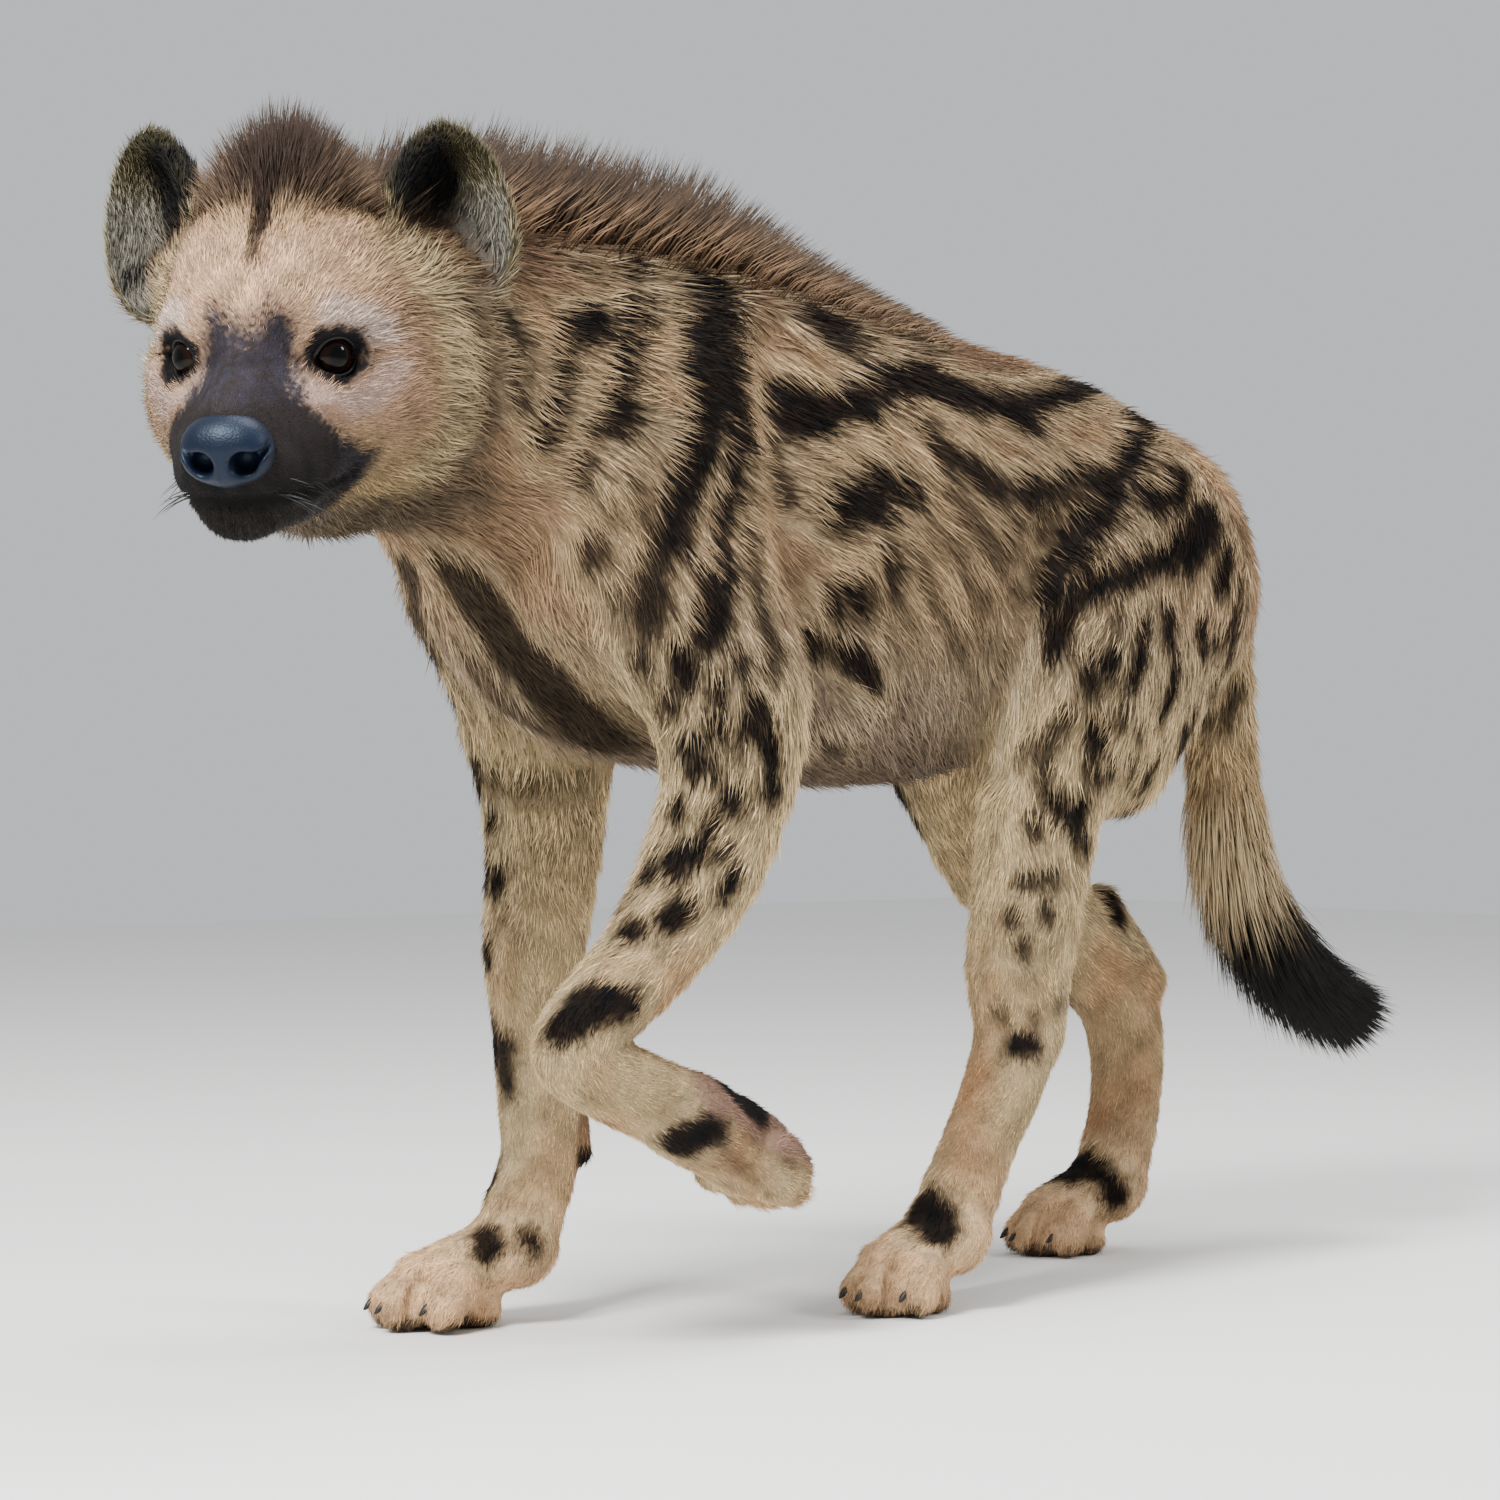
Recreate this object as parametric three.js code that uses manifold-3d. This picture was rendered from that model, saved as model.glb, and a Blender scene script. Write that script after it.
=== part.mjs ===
// A spotted hyena at life size, walking slowly with its left foreleg lifted and its head turned
// to its left. Millimetres: x to the animal's left, y to its tail, z up, the floor at z = 0.
// The body is a set of rounded forms that flow into each other. Each part is meshed from them
// with cells of its own size, and box shaped cutters part it from its neighbours.
import * as THREE from "three";
import { mergeVertices } from "three/addons/utils/BufferGeometryUtils.js";
import Module from "manifold-3d";

const wasm = await Module();
wasm.setup();

// Driving sizes

const GAP = 0.3;
const HEAD_AT = [120, -595, 686];
const HEAD_TURN = 42;
const HEAD_TILT = 12;
const EYE = { at: [42.2, 7, 0.1], radius: 18, turn: 42, tilt: 4, open: [15.5, 10.5, 12], lid: 5 };
const EAR = { at: [103, 122, 76], up: [-0.02, 0.05, 1], turn: 34, wide: 49, high: 67, deep: 34 };
const MOUTH = { z: -81, corner: 60, centre: -30, slit: 3, lip: 3.6 };
const CLAW = { length: 21, wide: 8, high: 10, sunk: 9, droop: 0.8 };
const MANE = { from: -465, to: 52, rows: [-30, -11, 11, 30], step: 49, width: 64, thick: 13 };
const CREST = { rows: 4, columns: 4, length: 80, width: 48, thick: 13 };
const BRUSH = { rings: 3, around: 5, length: 112, width: 50, thick: 14 };

// Trunk and neck: y, x of the middle, top, bottom, half width, z where it is widest

const STATIONS = [
  [-520, 62, 770, 620, 90, 700],
  [-460, 46, 796, 596, 104, 694],
  [-400, 28, 812, 562, 114, 684],
  [-350, 12, 818, 508, 122, 660],
  [-300, 4, 818, 452, 127, 636],
  [-235, 0, 814, 424, 130, 616],
  [-150, 0, 806, 408, 134, 596],
  [-60, 0, 790, 400, 142, 584],
  [40, 0, 773, 398, 146, 580],
  [120, 0, 762, 410, 140, 586],
  [190, 0, 750, 438, 130, 598],
  [260, 0, 734, 470, 118, 606],
  [330, 0, 706, 500, 102, 610],
  [384, 0, 674, 530, 76, 606],
];
const TRUNK_ENDS = [40, 50];

// Legs: x, y, z of the centre line, radius, width over depth

const LEGS = {
  fore_right: [
    [-104, -166, 520, 64, 0.8], [-104, -192, 440, 63, 0.85], [-98, -200, 354, 49, 0.95],
    [-91, -214, 280, 41, 1], [-86, -216, 232, 36, 1], [-84, -214, 195, 36, 1],
    [-83, -213, 160, 35, 1], [-82, -216, 120, 32, 1], [-82, -238, 66, 33, 1],
  ],
  fore_left: [
    [112, -200, 520, 64, 0.8], [128, -196, 440, 58, 0.85], [126, -226, 352, 49, 0.95],
    [121, -268, 290, 38, 1], [117, -316, 245, 33, 1], [116, -334, 220, 32, 1],
    [118, -306, 200, 32, 1], [119, -268, 183, 32, 1], [122, -226, 164, 34, 1],
  ],
  hind_left: [
    [96, 170, 500, 92, 0.6], [100, 142, 430, 68, 0.72], [97, 128, 340, 52, 0.85],
    [92, 114, 262, 42, 0.9], [88, 120, 212, 36, 0.95], [84, 108, 168, 33, 1],
    [80, 90, 130, 31, 1], [76, 62, 72, 33, 1],
  ],
  hind_right: [
    [-100, 240, 500, 92, 0.6], [-112, 256, 420, 72, 0.72], [-110, 290, 340, 54, 0.85],
    [-96, 352, 274, 45, 0.85], [-84, 400, 222, 38, 0.95], [-80, 412, 176, 34, 1],
    [-80, 410, 124, 32, 1], [-84, 398, 70, 33, 1],
  ],
};

// Muscles: from, to, first radius, last radius, width over depth, blend

const MUSCLES = {
  fore_right: [
    [[-72, -140, 700], [-98, -235, 575], 58, 72, 0.6, 60],
    [[-96, -262, 556], [-106, -208, 470], 66, 60, 0.8, 40],
  ],
  fore_left: [
    [[72, -140, 700], [96, -280, 580], 58, 72, 0.6, 60],
    [[98, -296, 562], [126, -214, 470], 60, 56, 0.8, 40],
  ],
  hind_left: [
    [[78, 282, 585], [98, 180, 500], 98, 86, 0.62, 60],
    [[74, 322, 545], [90, 235, 430], 72, 54, 0.62, 50],
    [[92, 166, 296], [88, 146, 206], 16, 15, 1, 26],
  ],
  hind_right: [
    [[-78, 282, 585], [-106, 240, 480], 98, 82, 0.62, 60],
    [[-74, 322, 545], [-96, 318, 430], 72, 54, 0.62, 50],
    [[-94, 396, 300], [-82, 444, 232], 18, 16, 1, 26],
  ],
};

// Paws: pastern, tip of the middle toes, width, toe radius, upper side

const PAWS = {
  fore_right: { from: [-82, -240, 56], to: [-105, -330, 19], wide: 96, toe: 20, up: [0, 0, 1] },
  fore_left: { from: [122, -236, 168], to: [108, -140, 114], wide: 88, toe: 20, up: [0, -0.45, -0.89] },
  hind_left: { from: [76, 56, 56], to: [67, -14, 18], wide: 86, toe: 19, up: [0, 0, 1] },
  hind_right: { from: [-84, 392, 56], to: [-112, 326, 18], wide: 86, toe: 19, up: [0, 0, 1] },
};

// The tail narrows where its brush of long hair begins

const TAIL = [
  [0, 384, 640, 44, 1], [0, 420, 590, 40, 1], [0, 438, 520, 37, 1], [0, 446, 422, 37, 1],
  [0, 460, 336, 34, 1], [0, 504, 268, 29, 1], [0, 552, 230, 20, 1], [0, 574, 218, 12, 1],
];

// Head, in its own frame: origin between the eyes, y to the back, z up

const SKULL = [
  [[0, 58, 20], [0, 96, 28], 66, 74, 1, 0],
  [[0, 14, 24], [0, 62, 46], 42, 54, 1.24, 36],
  [[0, 72, 74], [0, 106, 48], 28, 46, 1, 34],
  [[0, 8, -28], [0, -48, -50], 44, 33, 1.06, 26],
  [[0, -48, -50], [0, -68, -56], 34, 32, 1.04, 20],
  [[0, 60, -62], [0, -60, -90], 46, 21, 1.1, 24],
  [[0, 130, -78], [0, 44, -72], 66, 34, 1.1, 34],
  [[0, 24, 4], [0, -74, -34], 29, 23, 0.84, 22],
];
const CHEEKS = [
  [[44, 40, -26], [52, 84, -20], 33, 42, 1, 30],
  [[30, -16, -46], [44, 56, -44], 26, 38, 1, 30],
  [[34, 92, -34], [32, 126, -46], 56, 58, 1, 40],
  [[26, 10, -62], [15, -62, -66], 30, 22, 1, 22],
  [[30, 6, 20], [52, 26, 14], 18, 18, 1, 26],
  [[44, -4, -22], [60, 30, -18], 14, 18, 1, 20],
  [[62, 98, 36], [84, 128, 44], 30, 26, 1, 26],
];
const NOSE = [
  [[-11, -91, -44], [11, -91, -44], 16, 16, 1, 0],
  [[-13, -89, -56], [13, -89, -56], 15, 15, 1, 14],
  [[0, -93, -50], [0, -93, -65], 15, 11, 1, 12],
];

// Form functions: each gives the distance from a point to a form, below zero inside it

const dot = (a, b) => a[0] * b[0] + a[1] * b[1] + a[2] * b[2];
const sub = (a, b) => [a[0] - b[0], a[1] - b[1], a[2] - b[2]];
const mix = (a, b, t) => a.map((v, i) => v + (b[i] - v) * t);
const along = (a, d, t) => a.map((v, i) => v + d[i] * t);
const unit = (a) => a.map((v) => v / Math.hypot(...a));
const cross = (a, b) => [a[1] * b[2] - a[2] * b[1], a[2] * b[0] - a[0] * b[2], a[0] * b[1] - a[1] * b[0]];
const clamp = (v, lo, hi) => Math.min(Math.max(v, lo), hi);

function join(a, b, blend) {
  const near = Math.max(blend - Math.abs(a - b), 0) / blend;
  return Math.min(a, b) - near * near * blend * 0.25;
}

// A tapered rod with round ends, made wide or narrow across one axis
function rod([from, to, r0, r1, wide = 1, , axis = [1, 0, 0]]) {
  const line = sub(to, from);
  const length2 = dot(line, line);
  const flat = 1 / (wide * wide) - 1;
  const side = unit(axis);
  return (p) => {
    const q = sub(p, from);
    const t = clamp(dot(q, line) / length2, 0, 1);
    const v = along(q, line, -t);
    const d2 = dot(v, v);
    const n = Math.sqrt(d2) + 1e-6;
    const r = r0 + (r1 - r0) * t;
    const s = dot(v, side);
    return n - (r * n) / Math.sqrt(Math.max(d2 + flat * s * s, 1e-9));
  };
}

function blended(forms) {
  const rods = forms.map(rod);
  return (p) => rods.reduce((d, f, i) => (i ? join(d, f(p), forms[i][5]) : f(p)), 0);
}

// Smooth table rows: a cubic through the knots, with the slope of the neighbours at each
function curve(rows, key) {
  const slope = rows.map((row, i) => {
    const a = rows[Math.max(i - 1, 0)];
    const b = rows[Math.min(i + 1, rows.length - 1)];
    return row.map((v, k) => (b[k] - a[k]) / (key(rows, b) - key(rows, a)));
  });
  return (s) => {
    let i = 0;
    while (i < rows.length - 2 && s > key(rows, rows[i + 1])) i += 1;
    const h = key(rows, rows[i + 1]) - key(rows, rows[i]);
    const t = (s - key(rows, rows[i])) / h;
    return rows[i].map((v, k) =>
      (2 * t ** 3 - 3 * t ** 2 + 1) * v + (t ** 3 - 2 * t ** 2 + t) * h * slope[i][k]
      + (3 * t ** 2 - 2 * t ** 3) * rows[i + 1][k] + (t ** 3 - t ** 2) * h * slope[i + 1][k]);
  };
}

const byIndex = (rows, row) => rows.indexOf(row);
const byFirst = (rows, row) => row[0];

// A bent tube: short rods along a smooth centre line
function tube(rows, steps = 3) {
  const at = curve(rows, byIndex);
  const knots = Array.from({ length: (rows.length - 1) * steps + 1 }, (_, i) => at(i / steps));
  const rods = knots.slice(1).map((b, i) => {
    const a = knots[i];
    return rod([a.slice(0, 3), b.slice(0, 3), a[3], b[3], (a[4] + b[4]) / 2]);
  });
  return (p) => rods.reduce((d, f, i) => (i ? join(d, f(p), 3) : f(p)), 0);
}

// Trunk: an egg shaped section at every y, closed by rounded ends
const stationAt = curve(STATIONS, byFirst);
function trunk([x, y, z]) {
  const yc = clamp(y, STATIONS[0][0], STATIONS.at(-1)[0]);
  const [, xc, top, bottom, half, zc] = stationAt(yc);
  const v = [x - xc, y - yc, z - zc];
  const tall = v[2] > 0 ? top - zc : zc - bottom;
  const end = v[1] < 0 ? TRUNK_ENDS[0] : TRUNK_ENDS[1];
  const rho = Math.hypot(v[0] / half, v[1] / end, v[2] / tall) + 1e-9;
  return Math.hypot(...v) * (1 - 1 / rho);
}

// Frames: head and ear

const turn = (degrees) => (degrees * Math.PI) / 180;
const headMatrix = new THREE.Matrix4()
  .makeTranslation(...HEAD_AT)
  .multiply(new THREE.Matrix4().makeRotationZ(turn(HEAD_TURN)))
  .multiply(new THREE.Matrix4().makeRotationX(turn(HEAD_TILT)));
const toHead = headMatrix.clone().invert();
const fromHead = (p) => new THREE.Vector3(...p).applyMatrix4(headMatrix).toArray();
const inHead = (p) => new THREE.Vector3(...p).applyMatrix4(toHead).toArray();
const facing = (yaw, tilt) => [
  Math.sin(turn(yaw)) * Math.cos(turn(tilt)),
  -Math.cos(turn(yaw)) * Math.cos(turn(tilt)),
  Math.sin(turn(tilt)),
];

const skull = blended(SKULL);
const cheeks = CHEEKS.map(rod);
const nose = blended(NOSE);
function headForm(q) {
  const mirrored = [Math.abs(q[0]), q[1], q[2]];
  return cheeks.reduce((d, f, i) => join(d, f(mirrored), CHEEKS[i][5]), skull(q));
}

function pawForms({ from, to, wide, toe, up }) {
  const top = unit(up);
  const run = sub(to, from);
  const ahead = unit(along(run, top, -dot(run, top)));
  const side = cross(top, ahead);
  const hand = along(mix(from, to, 0.6), top, 6);
  const forms = [[from, hand, 31, 25, 1.3, 14, side]];
  const claws = [];
  for (const place of [-1.5, -0.5, 0.5, 1.5]) {
    const outer = Math.abs(place) > 1;
    const r = outer ? toe * 0.88 : toe;
    const tip = along(along(to, side, (place * wide) / 4.1), ahead, outer ? -24 : 0);
    const base = along(along(hand, side, (place * wide) / 5.2), ahead, -6);
    const knuckle = along(mix(base, tip, 0.5), top, 7);
    forms.push([base, knuckle, 17, r * 1.03, 1, 9]);
    forms.push([knuckle, tip, r * 1.03, r * 0.9, 1, 6]);
    claws.push({
      root: along(along(tip, ahead, r * 0.9 - CLAW.sunk), top, 3),
      out: along(ahead, top, 0.15),
      tip: along(ahead, top, -CLAW.droop),
      across: side,
      length: CLAW.length,
      width: CLAW.wide,
      thick: CLAW.high,
      sides: 4,
    });
  }
  const heel = along(along(mix(from, to, 0.42), top, -26), ahead, -8);
  forms.push([heel, along(heel, ahead, 34), 19, 18, 1.5, 12, side]);
  return { forms, claws };
}

const limbs = {};
for (const name of Object.keys(LEGS)) {
  const shaft = tube(LEGS[name]);
  const muscle = MUSCLES[name].map(rod);
  const { forms, claws } = pawForms(PAWS[name]);
  const paw = blended(forms);
  const upper = (p) => muscle.reduce((d, f, i) => join(d, f(p), MUSCLES[name][i][5]), shaft(p));
  limbs[name] = { upper, claws, whole: (p) => join(upper(p), paw(p), 12) };
}
const tailForm = tube(TAIL);

function body(p) {
  let d = join(trunk(p), headForm(inHead(p)), 40);
  for (const name of Object.keys(limbs)) d = join(d, limbs[name].upper(p), 36);
  return join(d, tailForm(p), 36);
}

// Meshing: one vertex in every cell that the surface crosses, one face over every crossed edge

function surface(form, low, high, cell, place = new THREE.Matrix4(), level = 0) {
  const n = low.map((v, k) => Math.ceil((high[k] - v) / cell[k]) + 1);
  const at = (i, j, k) => (i * n[1] + j) * n[2] + k;
  const value = new Float64Array(n[0] * n[1] * n[2]).fill(1);
  for (let i = 1; i < n[0] - 1; i += 1)
    for (let j = 1; j < n[1] - 1; j += 1)
      for (let k = 1; k < n[2] - 1; k += 1)
        value[at(i, j, k)] = form([low[0] + i * cell[0], low[1] + j * cell[1], low[2] + k * cell[2]]) - level;
  const stride = [n[1] * n[2], n[2], 1];
  fillCrosswise(value, stride);
  const corners = Array.from({ length: 8 }, (_, c) => [c >> 2, (c >> 1) & 1, c & 1]);
  const vertices = [];
  const vertexOf = new Map();
  for (let i = 0; i < n[0] - 1; i += 1)
    for (let j = 0; j < n[1] - 1; j += 1)
      for (let k = 0; k < n[2] - 1; k += 1) {
        const sum = [0, 0, 0];
        let count = 0;
        for (const c of corners)
          for (let axis = 0; axis < 3; axis += 1) {
            if (c[axis]) continue;
            const a = at(i + c[0], j + c[1], k + c[2]);
            const b = a + stride[axis];
            if (value[a] < 0 === value[b] < 0) continue;
            const t = value[a] / (value[a] - value[b]);
            [i, j, k].forEach((v, m) => {
              sum[m] += low[m] + (v + c[m] + (m === axis ? t : 0)) * cell[m];
            });
            count += 1;
          }
        if (!count) continue;
        vertexOf.set(at(i, j, k), vertices.length / 3);
        vertices.push(...sum.map((v) => v / count));
      }
  const point = (v) => vertices.slice(v * 3, v * 3 + 3);
  const apart = (a, b) => Math.hypot(...sub(point(a), point(b)));
  const faces = [];
  for (let axis = 0; axis < 3; axis += 1) {
    const [u, v] = [stride[(axis + 1) % 3], stride[(axis + 2) % 3]];
    for (const a of vertexOf.keys()) {
      const b = a + stride[axis];
      if (value[a] < 0 === value[b] < 0) continue;
      const ring = [a - u - v, a - v, a, a - u].map((c) => vertexOf.get(c));
      if (ring.includes(undefined)) continue;
      if (value[a] >= 0) ring.reverse();
      const [p, q, r, s] = apart(ring[0], ring[2]) < apart(ring[1], ring[3]) ? ring : [...ring.slice(1), ring[0]];
      faces.push(p, q, r, p, r, s);
    }
  }
  const placed = new THREE.BufferAttribute(new Float32Array(vertices), 3).applyMatrix4(place);
  return solid(placed.array, faces);
}

// A cell side whose inside corners lie crosswise would pinch the surface, so the corner
// nearest the surface changes over, once at most
function fillCrosswise(value, stride) {
  const changed = new Set();
  const inside = (a) => value[a] < 0;
  for (let a = 0; a < value.length; a += 1)
    for (let axis = 0; axis < 3; axis += 1) {
      const [u, v] = [stride[(axis + 1) % 3], stride[(axis + 2) % 3]];
      const ring = [a, a + u, a + u + v, a + v];
      const crosswise = inside(ring[0]) === inside(ring[2]) && inside(ring[1]) === inside(ring[3])
        && inside(ring[0]) !== inside(ring[1]);
      if (!crosswise) continue;
      const free = ring.filter((c) => !changed.has(c));
      const nearest = free.reduce((m, c) => (Math.abs(value[c]) < Math.abs(value[m]) ? c : m));
      value[nearest] = inside(nearest) ? 0.01 : -0.01;
      changed.add(nearest);
      a = Math.max(a - 2 * (u + v), 0);
      break;
    }
}

function solid(vertices, faces) {
  const mesh = new wasm.Mesh({
    numProp: 3,
    vertProperties: Float32Array.from(vertices),
    triVerts: Uint32Array.from(faces),
  });
  return new wasm.Manifold(mesh);
}

function fromGeometry(geometry, matrix) {
  geometry.deleteAttribute("normal");
  geometry.deleteAttribute("uv");
  const merged = mergeVertices(geometry.applyMatrix4(matrix), 1e-4);
  return solid(merged.attributes.position.array, merged.index.array);
}

const largest = (piece) => piece.decompose().reduce((a, b) => (a.volume() > b.volume() ? a : b));

// A cutter: a large block on the side of a plane that the normal points to, some way off it
const BLOCK = 2400;
function beyond(point, normal, off = 0) {
  const n = unit(normal);
  const matrix = new THREE.Matrix4().compose(
    new THREE.Vector3(...along(point, n, off + BLOCK / 2)),
    new THREE.Quaternion().setFromUnitVectors(new THREE.Vector3(0, 0, 1), new THREE.Vector3(...n)),
    new THREE.Vector3(1, 1, 1),
  );
  return fromGeometry(new THREE.BoxGeometry(BLOCK, BLOCK, BLOCK), matrix);
}
const opposite = (v) => v.map((c) => -c);

// An ellipsoid in a frame of three axes
function ellipsoid(at, radii, axes, around = 10, down = 7) {
  const columns = axes.map((axis, k) => new THREE.Vector3(...unit(axis)).multiplyScalar(radii[k]));
  const matrix = new THREE.Matrix4().makeBasis(...columns).setPosition(...at);
  return fromGeometry(new THREE.SphereGeometry(1, around, down), matrix);
}

// A bent, tapering spike with a flattened section: a lock of hair or a claw
function spike({ root, out, tip, across, length, width, thick, sides = 3, segments = 3, grow = 0 }) {
  const vertices = [];
  const faces = [];
  const [o, t] = [unit(out), unit(tip)];
  const pathAt = (s) => along(along(root, o, length * (s - (s * s) / 2)), t, (length * s * s) / 2);
  for (let i = 0; i < segments; i += 1) {
    const s = i / segments;
    const ahead = unit(mix(o, t, s));
    const side = unit(along(across, ahead, -dot(across, ahead)));
    const face = cross(ahead, side);
    const shrink = 1 - 0.9 * s ** 2.2;
    for (let k = 0; k < sides; k += 1) {
      const turned = (2 * Math.PI * k) / sides + Math.PI / 2;
      const w = Math.cos(turned) * ((width / 2) * shrink + grow);
      const h = Math.sin(turned) * ((thick / 2) * shrink + grow);
      vertices.push(...along(along(pathAt(s), side, w), face, h));
    }
  }
  vertices.push(...along(pathAt(1), t, grow), ...along(root, o, -1 - grow));
  const end = segments * sides;
  for (let k = 0; k < sides; k += 1) {
    const next = (k + 1) % sides;
    faces.push(end + 1, next, k);
    for (let i = 0; i < segments - 1; i += 1) {
      const [a, b, c, d] = [i * sides + k, i * sides + next, (i + 1) * sides + k, (i + 1) * sides + next];
      faces.push(a, b, d, a, d, c);
    }
    faces.push(end - sides + k, end - sides + next, end);
  }
  return solid(vertices, faces);
}

// A repeatable draw between -1 and 1
let seed = 7;
function draw() {
  seed = (seed * 16807) % 2147483647;
  return (seed / 2147483647) * 2 - 1;
}

const fuse = (core, pieces) => pieces.reduce((whole, piece) => whole.add(piece), core);
const carve = (core, pieces) => pieces.reduce((whole, piece) => whole.subtract(piece), core);
const keep = (core, pieces) => pieces.reduce((whole, piece) => whole.intersect(piece), core);

// Planes that part the body: a point, and the way to the further part

const CUTS = {
  neck: [[0, -205, 830], [0, -330, 190]],
  hip: [[0, 75, 0], [0, 1, 0]],
  fore_leg: [[0, -330, 556], [0, -60, -210]],
  fore_back: [[0, -78, 440], [0, -1, 0.12]],
  hind_leg: [[0, 105, 412], [0, 213, -295]],
  hind_back: [[0, 40, 440], [0, 1, 0]],
  left: [[30, 0, 0], [1, 0, 0]],
  right: [[-30, 0, 0], [-1, 0, 0]],
  knee_left: [[97, 128, 372], [0, -0.2, -1]],
  knee_right: [[-112, 270, 372], [0, 0.35, -1]],
  wrist_right: [[-84, -213, 158], [0, 0, -1]],
  wrist_left: [[118, -290, 190], [0.03, 0.5, -0.86]],
  hock_left: [[84, 106, 162], [-0.05, -0.45, -0.89]],
  hock_right: [[-80, 412, 162], [0, 0, -1]],
  floor: [[0, 0, 0], [0, 0, 1]],
};
const past = (name) => beyond(CUTS[name][0], CUTS[name][1], GAP / 2);
const before = (name) => beyond(CUTS[name][0], opposite(CUTS[name][1]), GAP / 2);
const headWay = (way) => new THREE.Vector3(...way).transformDirection(headMatrix).toArray();
const HEAD_BACK = [fromHead([0, 150, 60]), headWay([0, 170, -38])];

// Mane: a low core of dense coat, and flat locks that lean back over it

const lift = (y) => 20 * clamp(Math.min((y + 500) / 60, (70 - y) / 260), 0, 1);
const ridgeRows = [-470, -400, -300, -200, -110, -20, 60].map((y) => {
  const [, xc, top] = stationAt(y);
  return [xc, y, top - 40 + lift(y), 40, 0.9];
});
const ridge = tube(ridgeRows, 2);
const coated = (p) => join(body(p), ridge(p), 30);

function maneLocks() {
  const locks = [];
  MANE.rows.forEach((row, r) => {
    for (let y = MANE.from + (r % 2) * MANE.step * 0.5; y < MANE.to; y += MANE.step) {
      const reach = clamp(Math.min((MANE.to + 20 - y) / 230, (y + 560) / 80), 0.1, 1);
      const [, xc, top, , half] = stationAt(y);
      const drop = 26 * (row / 40) ** 2;
      const splay = (row / half) * 1.3 + 0.06 * draw();
      const lean = 1 + 0.8 * (1 - reach) + 0.08 * draw();
      locks.push({
        root: [xc + row + draw() * 4, y, top - 20 - drop + lift(y) * 0.5],
        out: [splay, lean * 0.5, 1],
        tip: [splay * 1.1, lean * 1.5, 1 - 0.75 * (1 - reach)],
        across: [0.25 * draw() - row / 90, 1, 0],
        length: (34 + 58 * reach) * (1 - Math.abs(row) / 160) * (1 + 0.08 * draw()),
        width: MANE.width,
        thick: MANE.thick,
      });
    }
  });
  return locks;
}

// Crest of longer hair on the crown, in a fan between the ears

function crestLocks() {
  const locks = [];
  for (let i = 0; i < CREST.rows; i += 1)
    for (let j = 0; j < CREST.columns; j += 1) {
      const y = 36 + i * 22 + draw() * 3;
      const x = (j - (CREST.columns - 1) / 2) * 26 + (i % 2) * 12 - 6 + draw() * 2;
      let z = 140;
      while (headForm([x, y, z]) > -12) z -= 2;
      locks.push(spike({
        root: fromHead([x, y, z]),
        out: headWay([x / 70, 0.15 + 0.04 * i, 1]),
        tip: headWay([x / 55, 0.5 + 0.05 * i + 0.1 * draw(), 1]),
        across: headWay([1, 0.2 * draw(), 0]),
        length: CREST.length * (0.72 + 0.1 * Math.min(i, 3)) * (1 + 0.08 * draw()),
        width: CREST.width,
        thick: CREST.thick,
      }));
    }
  return locks;
}

// Tail: rings of points about its centre line, closed at both ends

const tailAt = curve(TAIL, byIndex);
const tailWay = (s) => unit(sub(tailAt(s + 0.05).slice(0, 3), tailAt(s - 0.05).slice(0, 3)));
function tailTube(grow = 0) {
  const around = 12;
  const stops = Array.from({ length: 13 }, (_, i) => 0.7 + i * 0.525);
  const vertices = [];
  for (const s of stops) {
    const [x, y, z, r] = tailAt(s);
    const rear = cross(tailWay(s), [1, 0, 0]);
    for (let k = 0; k < around; k += 1) {
      const angle = (2 * Math.PI * k) / around;
      const out = along([Math.cos(angle), 0, 0], rear, Math.sin(angle));
      vertices.push(...along([x, y, z], out, r + grow));
    }
  }
  vertices.push(...along(tailAt(stops[0]).slice(0, 3), tailWay(stops[0]), -14 - grow));
  vertices.push(...along(tailAt(stops.at(-1)).slice(0, 3), tailWay(stops.at(-1)), 8 + grow));
  const faces = [];
  const end = stops.length * around;
  for (let k = 0; k < around; k += 1) {
    const next = (k + 1) % around;
    faces.push(end, next, k);
    for (let i = 0; i < stops.length - 1; i += 1) {
      const [a, b] = [i * around + k, i * around + next];
      faces.push(a, b + around, a + around, a, b, b + around);
    }
    faces.push(end + 1, end - around + k, end - around + next);
  }
  return solid(vertices, faces);
}

// Tail brush: rings of locks along the lower tail, each ring over the next

function brushLocks() {
  const locks = [];
  for (let i = 0; i < BRUSH.rings; i += 1) {
    const s = 3.9 + i * 1.15;
    const here = tailAt(s);
    const ahead = tailWay(s);
    const rear = cross(ahead, [1, 0, 0]);
    for (let j = 0; j < BRUSH.around; j += 1) {
      const angle = ((j + (i % 2) * 0.5) / BRUSH.around) * 2 * Math.PI;
      const outward = unit(along([Math.cos(angle), 0, 0], rear, Math.sin(angle)));
      locks.push(spike({
        root: along(along(here.slice(0, 3), outward, here[3] - 14), ahead, -6),
        out: along(ahead, outward, 0.5 - 0.06 * i),
        tip: along(ahead, outward, 0.06 * draw()),
        across: cross(ahead, outward),
        length: BRUSH.length * (1 - 0.15 * i) * (1 + 0.07 * draw()),
        width: BRUSH.width,
        thick: BRUSH.thick,
      }));
    }
  }
  return locks;
}

// Ears: cups with thick rims, open to the front and outward, their roots sunk in the head

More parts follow.
